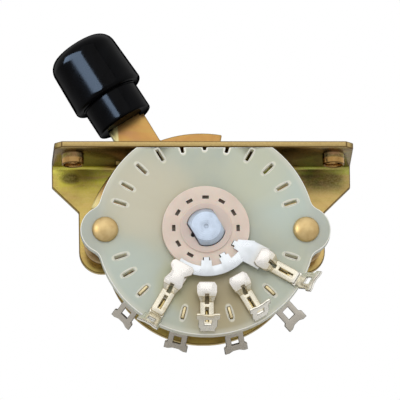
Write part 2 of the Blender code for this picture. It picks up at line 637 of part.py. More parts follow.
def strip(name, stations, frame, group):
    """A stamped strip. Each station is (radius, height, half width, half hole, open, rise): open leaves a
    hole in the middle up to the next station, and rise lifts the middle of the strip."""
    shape = bmesh.new()
    rows = []
    for radius, height, wide, narrow, _, rise in stations:
        places = ((-wide, 0), (-narrow, rise), (narrow, rise), (wide, 0))
        rows.append([shape.verts.new((radius, y, height + lift)) for y, lift in places])
    for i, station in enumerate(stations[:-1]):
        for k in range(3):
            if k == 1 and station[4]:
                continue
            shape.faces.new((rows[i][k], rows[i + 1][k], rows[i + 1][k + 1], rows[i][k + 1]))
    bmesh.ops.recalc_face_normals(shape, faces=shape.faces)
    mesh = bpy.data.meshes.new(name)
    shape.to_mesh(mesh)
    shape.free()
    obj = place(name, mesh, frame, group)
    thick = obj.modifiers.new("sheet", "SOLIDIFY")
    thick.thickness = LEAF
    thick.offset = 0
    thick.use_even_offset = True
    return obj


def slid(stations, slide):
    return [(station[0] + slide, *station[1:]) for station in stations]


def lug_stations(root, height, bend):
    """The solder lug past the bend: a neck, a window for the wire and a fishtail end."""
    rows = []
    for i in range(5):
        turn = bend * i / 4
        radius = root + LUG_BEND_RADIUS * math.sin(turn)
        rise = LUG_BEND_RADIUS * (1 - math.cos(turn))
        rows.append((radius, height + rise, LUG_NECK_HALF_WIDTH, CREASE_HALF_WIDTH, False, 0))
    start = rows[-1]
    neck, wide, head = LUG_NECK_HALF_WIDTH, LUG_HALF_WIDTH, LUG_HEAD_HALF_WIDTH
    window = WINDOW_HALF_WIDTH
    shape = [(0.12, neck, window, False), (0.24, wide, window, False), (0.36, wide, window, True)]
    shape += [(0.68, wide, window, False), (0.74, head, CREASE_HALF_WIDTH, False)]
    shape += [(0.93, head, CREASE_HALF_WIDTH, True), (1.0, head, 2 * window, False)]
    for share, width, narrow, is_open in shape:
        along = share * LUG_LENGTH
        radius = start[0] + along * math.cos(bend)
        rows.append((radius, start[1] + along * math.sin(bend), width, narrow, is_open, 0))
    return rows


def base_stations(tip, base):
    """The strip on the wafer, which rises to the lower leaf of the jaw."""
    low_leaf = BLADE_LIFT - JAW_GAP - LEAF / 2
    start = max(tip, ROTOR_RADIUS + LEAF)
    body, crease = BODY_HALF_WIDTH, CREASE_HALF_WIDTH
    rows = [(start, low_leaf, 2 * crease, crease, False, 0)]
    rows += [(start + HEAD_TAPER, low_leaf, NECK_HALF_WIDTH, crease, False, 0)]
    rows += [(TOOTH_RADIUS, low_leaf, NECK_HALF_WIDTH, crease, False, 0)]
    rows += [(TOOTH_RADIUS + NECK_DROP_LENGTH, base, body, crease, False, 0)]
    return rows + [(LUG_ROOT - NECK_DROP_LENGTH, base, body, crease, False, 0)]


def leaf_stations(tip, base):
    """The upper leaf: the head of the jaw, the neck that steps down, and the body on the base strip."""
    body_height = base + LEAF * 0.9
    high_leaf = BLADE_LIFT + BLADE_THICKNESS + JAW_GAP + LEAF / 2
    head, crease = HEAD_HALF_WIDTH, CREASE_HALF_WIDTH
    neck = TOOTH_RADIUS + NECK_SETBACK
    rows = [(tip, high_leaf, 0.75 * head, crease, False, HEAD_CREASE / 4)]
    rows += [(tip + HEAD_TAPER, high_leaf, head, crease, False, HEAD_CREASE)]
    if tip < HEAD_TIP:
        wide = COMMON_HALF_WIDTH
        rows = [(tip, high_leaf, 0.8 * wide, crease, False, 0)]
        rows += [(tip + 0.7 * HEAD_TAPER, high_leaf, wide, crease, False, 0)]
        rows += [(tip + 2 * HEAD_TAPER, high_leaf, wide, crease, False, HEAD_CREASE / 2)]
        rows += [(tip + 3.3 * HEAD_TAPER, high_leaf, BODY_HALF_WIDTH, crease, False, HEAD_CREASE)]
    rows += [(neck - HEAD_TAPER, high_leaf, head, crease, False, HEAD_CREASE)]
    rows += [(neck, high_leaf, NECK_HALF_WIDTH, crease, False, 0)]
    rows += [(neck + NECK_DROP_LENGTH, body_height, BODY_HALF_WIDTH, crease, False, 0)]
    rows += [(LUG_ROOT - NECK_DROP_LENGTH, body_height, BODY_HALF_WIDTH, crease, False, 0)]
    return rows + [(LUG_ROOT, body_height, 0.85 * BODY_HALF_WIDTH, crease, False, 0)]


def make_contact(name, tip, bend, slide, frame, group, cutters):
    """Base strip with the lower leaf and the lug, joined to the upper leaf and to the staple. Slide is how
    far out the strips sit over the staple, which the wafer's slot holds."""
    base = SEAT_GAP + LEAF / 2
    rows = base_stations(tip, base) + lug_stations(LUG_ROOT, base, bend)
    contact = strip(name, slid(rows, slide), frame, group)
    cut(contact, "UNION", strip(name + "_leaf", slid(leaf_stations(tip, base), slide), frame, cutters))

    keyhole = TOOTH_RADIUS + KEYHOLE_LENGTH / 2 + slide
    slot_end = LUG_ROOT - BODY_SLOT_SETBACK + slide
    tall = 4 * BLADE_LIFT
    openings = [((keyhole, 0, 0), (KEYHOLE_LENGTH, 2 * KEYHOLE_HALF_WIDTH, tall), 0)]
    size = (BODY_SLOT_LENGTH, 2 * BODY_SLOT_HALF_WIDTH, tall)
    openings += [((slot_end - BODY_SLOT_LENGTH / 2, 0, 0), size, 0)]
    cut(contact, "DIFFERENCE", place(name + "_holes", boxes_mesh(name + "_holes", openings), frame, cutters))

    low = -WAFER_THICKNESS - STAPLE_PROUD
    inner, outer = SLOT_INNER + SLOT_WIDTH / 4, SLOT_OUTER - SLOT_WIDTH / 4
    riser, foot = outer - RISER_LENGTH, max(slot_end + LEAF, outer)
    legs = [("_staple", inner, outer, low, -STAPLE_RECESS)]
    legs += [("_riser", riser, outer, -2 * STAPLE_RECESS, base), ("_foot", riser, foot, SEAT_GAP, base)]
    for part, start, end, bottom, top in legs:
        size = (end - start, 0.75 * SLOT_WIDTH, top - bottom)
        leg = boxes_mesh(name + part, [(((start + end) / 2, 0, (bottom + top) / 2), size, 0)])
        cut(contact, "UNION", place(name + part, leg, frame, cutters))
    return finish(contact, (0.75, 0.72, 0.64), 0.3, 1.0, 40)


def make_contacts(group, cutters):
    deg = math.radians
    front = STATION @ Matrix.Translation((0, 0, WAFER_FRONT))
    rear = STATION @ Matrix.Translation((0, 0, WAFER_STANDOFF))
    over = Matrix.Rotation(math.pi, 4, "X")
    # Name, angle at the front, then the bend of the lug and the slide at the front and at the rear
    contacts = [("common_contact", 240, (54, 0.0003), (55, 0))]
    contacts += [("throw_contact_1", 330, (56, 0.0008), (18, 0.0001))]
    contacts += [("throw_contact_2", 300, (98, 0.0006), (56, 0))]
    contacts += [("throw_contact_3", 270, (104, 0.0005), (63, 0))]
    for name, turn, at_front, at_rear in contacts:
        tip = COMMON_TIP if "common" in name else HEAD_TIP
        frame = front @ Matrix.Rotation(deg(turn), 4, "Z")
        make_contact("front_" + name, tip, deg(at_front[0]), at_front[1], frame, group, cutters)
        frame = rear @ Matrix.Rotation(deg(turn) + REAR_BLADE_TURN, 4, "Z") @ over
        make_contact("rear_" + name, tip, deg(at_rear[0]), at_rear[1], frame, group, cutters)


def make_rotating_set(group, cutters):
    front = LEANING @ Matrix.Translation((0, 0, WAFER_FRONT))
    rear = LEANING @ Matrix.Translation((0, 0, WAFER_STANDOFF))
    over = Matrix.Rotation(math.pi, 4, "Y")
    make_rotor_half("rotor_front", front, True, group, cutters)
    make_blade("blade_front", front, 1, group, cutters)
    make_rotor_half("rotor_rear", rear @ over, False, group, cutters)
    make_blade("blade_rear", rear @ Matrix.Rotation(REAR_BLADE_TURN, 4, "Z"), -1, group, cutters)


def main():
    clear_scene()
    group = collection("lever_switch")
    cutters = collection("cutters", hidden=True)
    make_bracket(group, cutters)
    make_shaft_parts(group, cutters)
    make_lever(group, cutters)
    make_detent_spring(group, cutters)
    make_ties(group)
    make_wafer(group, cutters)
    make_rotating_set(group, cutters)
    make_contacts(group, cutters)


main()
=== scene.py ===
"""The looks of a lever switch with a wafer of clip contacts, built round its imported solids."""

import json
import math

import bmesh
import bpy
from mathutils import Matrix, Vector

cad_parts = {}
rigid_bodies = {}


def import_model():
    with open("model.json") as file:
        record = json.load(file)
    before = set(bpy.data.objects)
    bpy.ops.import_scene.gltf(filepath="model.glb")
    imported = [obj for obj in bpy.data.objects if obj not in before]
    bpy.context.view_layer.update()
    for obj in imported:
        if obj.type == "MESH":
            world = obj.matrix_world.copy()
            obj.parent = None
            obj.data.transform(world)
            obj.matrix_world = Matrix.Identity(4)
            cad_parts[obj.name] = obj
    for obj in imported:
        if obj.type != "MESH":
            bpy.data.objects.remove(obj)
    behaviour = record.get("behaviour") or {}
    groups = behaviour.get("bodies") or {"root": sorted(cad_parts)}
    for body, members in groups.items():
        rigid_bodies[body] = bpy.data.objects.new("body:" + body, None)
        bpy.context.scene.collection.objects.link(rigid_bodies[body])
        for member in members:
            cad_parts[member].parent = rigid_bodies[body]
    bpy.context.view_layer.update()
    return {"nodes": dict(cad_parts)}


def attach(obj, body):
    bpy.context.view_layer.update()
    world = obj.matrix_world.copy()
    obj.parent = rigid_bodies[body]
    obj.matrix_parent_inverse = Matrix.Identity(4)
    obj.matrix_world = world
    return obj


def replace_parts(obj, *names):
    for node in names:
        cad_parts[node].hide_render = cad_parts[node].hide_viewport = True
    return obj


for leftover in list(bpy.data.objects):
    bpy.data.objects.remove(leftover)
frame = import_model()


# Bracket. One steel stamping bent to a back plate and a mounting flange, with two extruded collars that are
# tapped. It is zinc plated and has a yellow chromate finish, olive where the film is thick near the bend.
# Painted shade darkens the flange's underside and the plate below the bend, which also gets a painted
# reflection of each collar, and a painted highlight runs along the inner bend.
MM = 0.001
SHAFT_AXIS = Vector((0, 7.2 * MM, -14.95 * MM))
HOLE_SPACING = 41.3 * MM
THREAD_PITCH = 25.4 / 32 * MM
THREAD_LENGTH = 2.45 * MM
THREAD_RADIUS = 1.46 * MM
THREAD_DEPTH = 0.16 * MM
THREAD_TOP = -0.2 * MM  # below the mounting face
ONE_FACE_BELOW = math.radians(0.6)  # faces that meet flatter than this are joined to one
FLAT_BELOW = math.radians(1)
SMOOTH_BELOW = math.radians(35)
SHORTEST_EDGE = 0.001 * MM


def rounded_copy(node, width, sharp_above=30, weld=0.002 * MM, clamp=False):
    """A welded copy of a solid with its sharp edges rolled over.

    The face attribute edge is 1 on every rolled face. A clamped roll is narrow enough to cross no other.
    """
    mesh = frame["nodes"][node].data.copy()
    shape = bmesh.new()
    shape.from_mesh(mesh)
    bmesh.ops.remove_doubles(shape, verts=shape.verts, dist=weld)
    bmesh.ops.dissolve_degenerate(shape, edges=shape.edges, dist=SHORTEST_EDGE)
    bmesh.ops.dissolve_limit(shape, angle_limit=ONE_FACE_BELOW, verts=shape.verts, edges=shape.edges)
    roll_edges(shape, width, sharp_above, clamp)
    shape.to_mesh(mesh)
    shape.free()
    return smoothed(mesh)


def roll_edges(shape, width, sharp_above, clamp):
    """Bevels each edge that turns by more than sharp_above, in degrees."""
    flat = mark_flats(shape)
    layer = shape.faces.layers.float.new("edge")
    sharp = [e for e in shape.edges if len(e.link_faces) == 2]
    sharp = [e for e in sharp if e.calc_face_angle(0) > math.radians(sharp_above)]
    rolled = bmesh.ops.bevel(
        shape, geom=sharp, offset=width, segments=2, profile=0.5, affect="EDGES", clamp_overlap=clamp
    )
    for face in rolled["faces"]:
        face[layer] = 1.0
        face[flat] = 0
    fill_flats(shape, flat)
    bmesh.ops.triangulate(shape, faces=[f for f in shape.faces if len(f.verts) > 4])
    bmesh.ops.recalc_face_normals(shape, faces=shape.faces)


def mark_flats(shape):
    """Numbers the faces that lie flat together, from 1 on. A single face of three or four sides stays 0."""
    flat = shape.faces.layers.int.new("flat")
    number = 0
    for face in shape.faces:
        if face[flat]:
            continue
        together, to_visit = [face], [face]
        while to_visit:
            for edge in to_visit.pop().edges:
                for other in edge.link_faces:
                    if other not in together and edge.calc_face_angle(1) < FLAT_BELOW:
                        together.append(other)
                        to_visit.append(other)
        if len(together) > 1 or len(face.verts) > 4:
            number += 1
            for one in together:
                one[flat] = number
    return flat


def fill_flats(shape, flat):
    """Fills each flat afresh inside its rolled edges, so that no old diagonal crosses them."""
    flats = {}
    for face in shape.faces:
        if face[flat]:
            flats.setdefault(face[flat], []).append(face)
    for faces in flats.values():
        normal = sum((f.normal * f.calc_area() for f in faces), Vector()).normalized()
        sides = {e: sum(f in faces for f in e.link_faces) for f in faces for e in f.edges}
        rim = [e for e, count in sides.items() if count == 1]
        inner = [e for e, count in sides.items() if count > 1]
        bmesh.ops.delete(shape, geom=faces, context="FACES_ONLY")
        bmesh.ops.delete(shape, geom=inner, context="EDGES")
        bmesh.ops.triangle_fill(shape, edges=rim, use_beauty=True, normal=normal)


def smoothed(mesh):
    """The mesh without materials, shaded smooth except across its sharp edges."""
    mesh.materials.clear()
    mesh.shade_smooth()
    mesh.set_sharp_from_angle(angle=SMOOTH_BELOW)
    return mesh


def put(name, mesh, finish):
    """A finished piece: its place is in its mesh, and its object stays at the origin."""
    piece = bpy.data.objects.new(name, mesh)
    bpy.context.scene.collection.objects.link(piece)
    if finish:
        piece.data.materials.append(finish)
    return piece


class Nodes:
    """A short way to write a node tree: each call adds a node and gives back its output."""

    def __init__(self, tree):
        self.tree = tree

    def add(self, kind, *feeds, out=0, **settings):
        node = self.tree.nodes.new(kind)
        for key, value in settings.items():
            setattr(node, key, value)
        for place, feed in enumerate(feeds):
            self.feed(node.inputs[place], feed)
        return node.outputs[out]

    def feed(self, socket, value):
        if isinstance(value, bpy.types.NodeSocket):
            self.tree.links.new(value, socket)
        elif value is not None:
            socket.default_value = value

    def math(self, operation, *feeds):
        return self.add("ShaderNodeMath", *feeds, operation=operation)

    def product(self, *feeds):
        result = feeds[0]
        for feed in feeds[1:]:
            result = self.math("MULTIPLY", result, feed)
        return result

    def squares(self, first, second):
        """The sum of two squares."""
        return self.math("ADD", self.product(first, first), self.product(second, second))

    def spread(self, value, low, high, new_low=0.0, new_high=1.0):
        """A smooth step: new_low up to low, and new_high from high on."""
        kind = "SMOOTHSTEP"
        return self.add("ShaderNodeMapRange", value, low, high, new_low, new_high, interpolation_type=kind)

    def mix(self, share, first, second):
        node = self.tree.nodes.new("ShaderNodeMix")
        node.data_type = "RGBA"
        for place, value in ((0, share), (6, first), (7, second)):
            self.feed(node.inputs[place], value)
        return node.outputs[2]

    def noise(self, where, scale, detail=2.0, rough=0.5, distort=0.0):
        node = self.tree.nodes.new("ShaderNodeTexNoise")
        self.feed(node.inputs["Vector"], where)
        settings = {"Scale": scale, "Detail": detail, "Roughness": rough, "Distortion": distort}
        for key, value in settings.items():
            node.inputs[key].default_value = value
        return node.outputs[0]

    def place(self, scale=(1, 1, 1), move=(0, 0, 0), turn=(0, 0, 0)):
        """Object coordinates in millimetres, then scaled, turned and moved."""
        where = self.add("ShaderNodeTexCoord", out=3)
        sized = self.add("ShaderNodeVectorMath", where, (1000, 1000, 1000), operation="MULTIPLY")
        node = self.tree.nodes.new("ShaderNodeMapping")
        self.feed(node.inputs[0], sized)
        for key, value in (("Location", move), ("Rotation", turn), ("Scale", scale)):
            node.inputs[key].default_value = value
        return node.outputs[0]

    def axes(self, where):
        return self.add("ShaderNodeSeparateXYZ", where).node.outputs

    def edge(self):
        """1 on the rolled edges."""
        return self.add("ShaderNodeAttribute", attribute_name="edge", out=2)

    def bump(self, height, strength, distance=0.01):
        node = self.tree.nodes.new("ShaderNodeBump")
        self.feed(node.inputs["Strength"], strength)
        self.feed(node.inputs["Distance"], distance * MM)
        self.feed(node.inputs["Height"], height)
        return node.outputs[0]

    def group(self, tree, **feeds):
        node = self.tree.nodes.new("ShaderNodeGroup")
        node.node_tree = tree
        for key, value in feeds.items():
            self.feed(node.inputs[key.replace("_", " ")], value)
        return node.outputs


def effect(name, takes, gives):
    """An empty shader node group with named sockets, and its nodes, inputs and outputs."""
    tree = bpy.data.node_groups.new(name, "ShaderNodeTree")
    for title, kind, value in takes:
        socket = tree.interface.new_socket(title, in_out="INPUT", socket_type="NodeSocket" + kind)
        socket.default_value = value
    for title, kind in gives:
        tree.interface.new_socket(title, in_out="OUTPUT", socket_type="NodeSocket" + kind)
    ends = tree.nodes.new("NodeGroupInput"), tree.nodes.new("NodeGroupOutput")
    return tree, Nodes(tree), ends[0].outputs, ends[1].inputs


def finish_of(name, metallic=0.0, **fixed):
    """A material with its Principled shader's fixed values set, its nodes, and the shader's inputs."""
    made = bpy.data.materials.new(name)
    made.use_nodes = True
    shader = made.node_tree.nodes["Principled BSDF"]
    shader.inputs["Metallic"].default_value = metallic
    for key, value in fixed.items():
        shader.inputs[key.replace("_", " ")].default_value = value
    return made, Nodes(made.node_tree), shader.inputs


def round_shaft_effect():
    """Where a point is in millimetres from the shaft's axis: across, up, away from it, and along it."""
    gives = [(title, "Float") for title in ("Across", "Up", "Radius", "Along")]
    tree, nodes, given, result = effect("round_shaft", [], gives)
    across, along, up = nodes.axes(nodes.place(move=tuple(-c / MM for c in SHAFT_AXIS)))
    radius = nodes.math("SQRT", nodes.squares(across, up))
    for title, value in (("Across", across), ("Up", up), ("Radius", radius), ("Along", along)):
        nodes.feed(result[title], value)
    return tree


def grain_effect():
    """Rolling grain, specks, and small handling marks of sheet metal."""
    takes = [("Grain", "Float", 0.5), ("Marks", "Float", 0.4), ("Roughness", "Float", 0.3)]
    gives = [("Height", "Float"), ("Roughness", "Float"), ("Stain", "Float"), ("Speck", "Float")]
    tree, nodes, given, result = effect("sheet_grain", takes, gives)
    fine = nodes.noise(nodes.place((1.2, 1.2, 14)), 1.6, 4, 0.65)
    speck = nodes.noise(nodes.place(), 3.2, 3, 0.6)
    cloud = nodes.noise(nodes.place(), 0.35, 3, 0.55, 0.6)
    marks = nodes.noise(nodes.place((3, 3, 0.5), turn=(0.3, 0.2, 0.5)), 1.3, 2, 0.5)
    marks = nodes.product(nodes.spread(marks, 0.62, 0.72), given["Marks"])
    height = nodes.math("ADD", nodes.product(fine, given["Grain"]), speck)
    height = nodes.math("SUBTRACT", height, marks)
    rough = nodes.math("MULTIPLY_ADD", cloud, 0.16, nodes.math("SUBTRACT", given["Roughness"], 0.08))
    rough = nodes.math("MULTIPLY_ADD", marks, 0.12, rough)
    for title, value in (("Height", height), ("Roughness", rough), ("Stain", cloud), ("Speck", speck)):
        nodes.feed(result[title], value)
    return tree


def chromate_effect():
    """The yellow film's colour: its base, with green and rose where the film is thick, in soft streaks."""
    takes = [("Base", "Color", (0.47, 0.34, 0.09, 1)), ("Green", "Color", (0.26, 0.29, 0.03, 1))]
    takes += [("Rose", "Color", (0.42, 0.20, 0.12, 1)), ("Pooling", "Float", 0.3)]
    tree, nodes, given, result = effect("yellow_chromate", takes, [("Color", "Color")])
    streaks = nodes.noise(nodes.place((0.10, 0.3, 0.8)), 0.9, 3, 0.6, 1.2)
    rose = nodes.noise(nodes.place((0.18, 0.3, 0.5), move=(7, 3, 2)), 1.0, 2, 0.5, 0.8)
    pool = nodes.product(nodes.spread(streaks, 0.38, 0.68), given["Pooling"])
    tint = nodes.product(nodes.spread(rose, 0.48, 0.72), given["Pooling"])
    colour = nodes.mix(pool, given["Base"], given["Green"])
    nodes.feed(result["Color"], nodes.mix(tint, colour, given["Rose"]))
    return tree


round_shaft = round_shaft_effect()
sheet_grain = grain_effect()
yellow_chromate = chromate_effect()


def bracket_masks(nodes):
    """Where each tone of the bracket lies. Places are in millimetres, with z 0 on the mounting face."""
    x, y, z = nodes.axes(nodes.place())
    from_middle = nodes.math("ABSOLUTE", x)
    behind_front = nodes.spread(y, -3.7, -3.2)
    outer_end = nodes.spread(from_middle, 21.6, 23.4, 1.0, 0.4)
    under = nodes.product(nodes.spread(z, -4.2, -2.6), behind_front, nodes.spread(y, 7.0, 6.2))
    off_hole = nodes.squares(nodes.math("SUBTRACT", from_middle, HOLE_SPACING / 2 / MM), y)
    aside = nodes.math("DIVIDE", nodes.math("SUBTRACT", from_middle, 20.7), 1.7)
    # Painted reflection: the dark patch on the plate below each collar.
    off_reflection = nodes.squares(aside, nodes.math("ADD", z, 2.9))
    on_plate = nodes.product(nodes.spread(y, 6.2, 6.9), nodes.spread(y, 7.8, 7.4))
    return {
        "near_bend": nodes.product(nodes.spread(z, -6.4, -3.6), behind_front, outer_end),
        "fold": nodes.product(nodes.spread(z, -2.6, -1.9), nodes.spread(y, 6.3, 6.8)),
        "under": under,
        "shaded": nodes.product(under, nodes.spread(from_middle, 20.6, 19.2)),
        "collar": nodes.product(nodes.spread(off_hole, 7.4, 6.6), nodes.spread(z, -1.7, -2.0)),
        "front_edge": nodes.spread(y, -3.2, -3.7),
        "right": nodes.spread(x, 6.0, 13.0),
        "collar_reflection": nodes.product(nodes.spread(off_reflection, 1.5, 0.2, 0, 0.9), on_plate),
    }


def bracket_finish():
    """Golden on the plate, olive by the bend, painted shade under the flange and copper on the collars."""
    made, nodes, shader = finish_of("bracket_yellow_zinc", 1.0)
    grain = nodes.group(sheet_grain, Grain=0.5, Marks=0.3, Roughness=0.3)
    mask = bracket_masks(nodes)
    plate_colour = nodes.mix(mask["right"], (0.57, 0.42, 0.12, 1), (0.60, 0.42, 0.15, 1))
    # Painted shade and painted reflection: below the bend the plate is olive on the left and near black on
    # the right, standing for the flange's shade and its collar's reflection.
    bend_colour = nodes.mix(mask["right"], (0.50, 0.45, 0.05, 1), (0.11, 0.095, 0.03, 1))
    # Painted highlight: a bright yellow-green line along the inner bend.
    fold_colour = nodes.mix(mask["right"], (0.60, 0.56, 0.09, 1), (0.33, 0.37, 0.06, 1))
    base = nodes.mix(mask["near_bend"], plate_colour, bend_colour)
    base = nodes.mix(nodes.product(mask["fold"], 0.85), base, fold_colour)
    for name, share, tint in (
        # painted reflection of each collar on the plate
        ("collar_reflection", 1.0, (0.09, 0.065, 0.015)),
        # painted shade under the flange
        ("under", 1.0, (0.15, 0.095, 0.035)),
        ("shaded", 0.9, (0.08, 0.065, 0.03)),
        ("front_edge", 1.0, (0.42, 0.30, 0.12)),
        ("collar", 1.0, (0.43, 0.24, 0.075)),
    ):
        base = nodes.mix(nodes.product(mask[name], share), base, (*tint, 1))
    plain = mask["front_edge"]
    for name in ("collar", "shaded", "collar_reflection"):
        plain = nodes.math("MAXIMUM", plain, mask[name])
    pooling = nodes.math("MULTIPLY_ADD", mask["near_bend"], 0.3, 0.2)
    pooling = nodes.product(pooling, nodes.math("MULTIPLY_ADD", plain, -0.85, 1.0))
    colour = nodes.group(yellow_chromate, Base=base, Pooling=pooling)[0]
    colour = nodes.mix(nodes.spread(grain["Stain"], 0.45, 0.75, 0, 0.3), colour, (0.34, 0.20, 0.06, 1))
    colour = nodes.mix(nodes.spread(grain["Speck"], 0.35, 0.65, 0, 0.18), colour, (0.62, 0.50, 0.24, 1))
    # Painted shade: the rolled edges are painted dark, an outline round the stamping.
    colour = nodes.mix(nodes.product(nodes.edge(), 0.8), colour, (0.12, 0.07, 0.025, 1))
    nodes.feed(shader["Base Color"], colour)
    nodes.feed(shader["Roughness"], nodes.math("MULTIPLY_ADD", mask["collar"], -0.1, grain["Roughness"]))
    nodes.feed(shader["Normal"], nodes.bump(grain["Height"], 0.25))
    return made


def growth(name, sizes):
    """An empty Geometry Nodes tree with a named input for each size, its nodes, and its inputs."""
    tree = bpy.data.node_groups.new(name, "GeometryNodeTree")
    tree.interface.new_socket("Geometry", in_out="INPUT", socket_type="NodeSocketGeometry")
    for title in sizes:
        tree.interface.new_socket(title, in_out="INPUT", socket_type="NodeSocketFloat")
    tree.interface.new_socket("Geometry", in_out="OUTPUT", socket_type="NodeSocketGeometry")
    return tree, Nodes(tree), tree.nodes.new("NodeGroupInput").outputs


def set_out(nodes, given, shape, finish):
    """Sets a copy of the shape at each spot, turned by the spot's own facing."""
    facing = nodes.add("GeometryNodeInputNamedAttribute", "facing", data_type="FLOAT_VECTOR")
    copies = nodes.add("GeometryNodeInstanceOnPoints", given["Geometry"], None, shape, None, None, facing)
    whole = nodes.add("GeometryNodeRealizeInstances", copies)
    whole = nodes.add("GeometryNodeSetShadeSmooth", whole, None, True)
    painted = nodes.add("GeometryNodeSetMaterial", whole, None, finish)
    nodes.feed(nodes.tree.nodes.new("NodeGroupOutput").inputs[0], painted)


def grow(name, spots, tree, **sizes):
    """A piece made by the tree at each spot, given as its place and its facing, as a plain mesh."""
    mesh = bpy.data.meshes.new(name)
    mesh.from_pydata([place for place, facing in spots], [], [])
    layer = mesh.attributes.new("facing", "FLOAT_VECTOR", "POINT")
    for item, (place, facing) in zip(layer.data, spots):
        item.vector = facing
    piece = put(name, mesh, None)
    step = piece.modifiers.new("grown", "NODES")
    step.node_group = tree
    for socket in tree.interface.items_tree:
        key = socket.name.replace(" ", "_")
        if key in sizes:
            step[socket.identifier] = sizes[key]
    graph = bpy.context.evaluated_depsgraph_get()
    made = bpy.data.meshes.new_from_object(piece.evaluated_get(graph))
    piece.modifiers.remove(step)
    piece.data = made
    return piece


def thread_tree(finish):
    """The helical ridge of a tapped hole, with its top at the spot."""
    tree, nodes, given = growth("thread_ridge", ("Radius", "Pitch", "Length", "Depth"))
    turns = nodes.math("DIVIDE", given["Length"], given["Pitch"])
    drop = nodes.add("ShaderNodeCombineXYZ", 0.0, 0.0, nodes.product(given["Length"], -1.0))
    helix = nodes.add("GeometryNodeCurveSpiral", 32, turns, given["Radius"], given["Radius"], given["Length"])
    helix = nodes.add("GeometryNodeTransform", helix, drop)
    ridge = nodes.add("GeometryNodeCurvePrimitiveCircle", 6, None, None, None, given["Depth"])
    swept = nodes.add("GeometryNodeCurveToMesh", helix, ridge, 1.0, True)
    set_out(nodes, given, swept, finish)
    return tree


yellow_zinc = bracket_finish()
bracket = put("bracket_plated", rounded_copy("bracket", 0.15 * MM), yellow_zinc)
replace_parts(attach(bracket, "frame"), "bracket")
tapped = [((side * HOLE_SPACING / 2, 0, THREAD_TOP), (0, 0, 0)) for side in (-1, 1)]
threads = grow(
    "bracket_threads",
    tapped,
    thread_tree(yellow_zinc),
    Radius=THREAD_RADIUS,
    Pitch=THREAD_PITCH,
    Length=THREAD_LENGTH,
    Depth=THREAD_DEPTH,
)
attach(threads, "frame")


# Shaft and bearing. A turned steel shaft with two flats runs in a flanged brass bushing that is rolled over
# behind the plate. A thrust washer, a push-on ring and a clip in the shaft's groove hold it all endways.
def turning_effect():
    """Fine rings left by the lathe round the switch's axis, and across the length of a shank."""
    takes = [("Spacing", "Float", 0.12), ("Roughness", "Float", 0.25)]
    tree, nodes, given, result = effect("lathe_rings", takes, [("Height", "Float"), ("Roughness", "Float")])
    where = nodes.group(round_shaft)
    step = nodes.math("MULTIPLY_ADD", where["Along"], 0.7, where["Radius"])
    wave = nodes.math("SINE", nodes.product(nodes.math("DIVIDE", step, given["Spacing"]), 2 * math.pi))
    uneven = nodes.noise(nodes.place(), 1.4, 2, 0.5)
    nodes.feed(result["Height"], nodes.product(wave, nodes.math("ADD", uneven, 0.2)))
    rough = nodes.math("MULTIPLY_ADD", uneven, 0.12, given["Roughness"])
    nodes.feed(result["Roughness"], nodes.math("MULTIPLY_ADD", wave, 0.03, rough))
    return tree


lathe_rings = turning_effect()


def turned_finish(name, colour, dull, roughness, spacing, relief, edge_light_factor=1.25):
    """Turned metal that dulls in soft patches; its rings catch the light; its edges get painted light."""
    made, nodes, shader = finish_of(name, 1.0)
    rings = nodes.group(lathe_rings, Spacing=spacing, Roughness=roughness)
    patch = nodes.spread(nodes.noise(nodes.place(), 0.6, 3, 0.55), 0.35, 0.75)
    tint = nodes.mix(patch, (*colour, 1), (*dull, 1))
    # Painted light on the rolled edges: a factor above 1 paints a highlight, below 1 a shade, as on the
    # shaft's chamfer and the rivets' rims.
    edge_light_and_shade = tuple(min(1, c * edge_light_factor) for c in colour)
    nodes.feed(shader["Base Color"], nodes.mix(nodes.product(nodes.edge(), 0.6), tint, (*edge_light_and_shade, 1)))
    nodes.feed(shader["Roughness"], rings["Roughness"])
    nodes.feed(shader["Normal"], nodes.bump(rings["Height"], relief))
    return made


brass = turned_finish("brass", (0.66, 0.47, 0.21), (0.52, 0.34, 0.13), 0.2, 0.16, 0.12)
shaft_steel = turned_finish("shaft_steel", (0.54, 0.62, 0.74), (0.44, 0.51, 0.61), 0.26, 0.34, 0.6, 0.45)
plain_steel = turned_finish("plain_steel", (0.52, 0.53, 0.56), (0.42, 0.43, 0.45), 0.3, 0.2, 0.15)
black_steel = turned_finish("black_steel", (0.12, 0.12, 0.13), (0.07, 0.07, 0.075), 0.35, 0.2, 0.1)
for node, body, finish, slot, width in (
    ("shaft", "lever_set", shaft_steel, "shaft_steel", 0.03),
    ("shaft_bushing", "frame", brass, "brass", 0.06),
    ("thrust_washer", "lever_set", plain_steel, "plain_steel", 0.04),
    ("lever_lock_ring", "lever_set", plain_steel, "plain_steel", 0.04),
    ("retaining_ring", "lever_set", black_steel, "black_steel", 0.05),
):
    piece = put(node + "_turned", rounded_copy(node, width * MM), finish)
    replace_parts(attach(piece, body), node)


# Lever. Flat steel stamped with a round hub, a wider sector and the arm, plated like the bracket but in a
# warmer tan. Its double-D hole fits the shaft's flats.
LEAN = math.radians(30)  # of the arm, to the left at rest


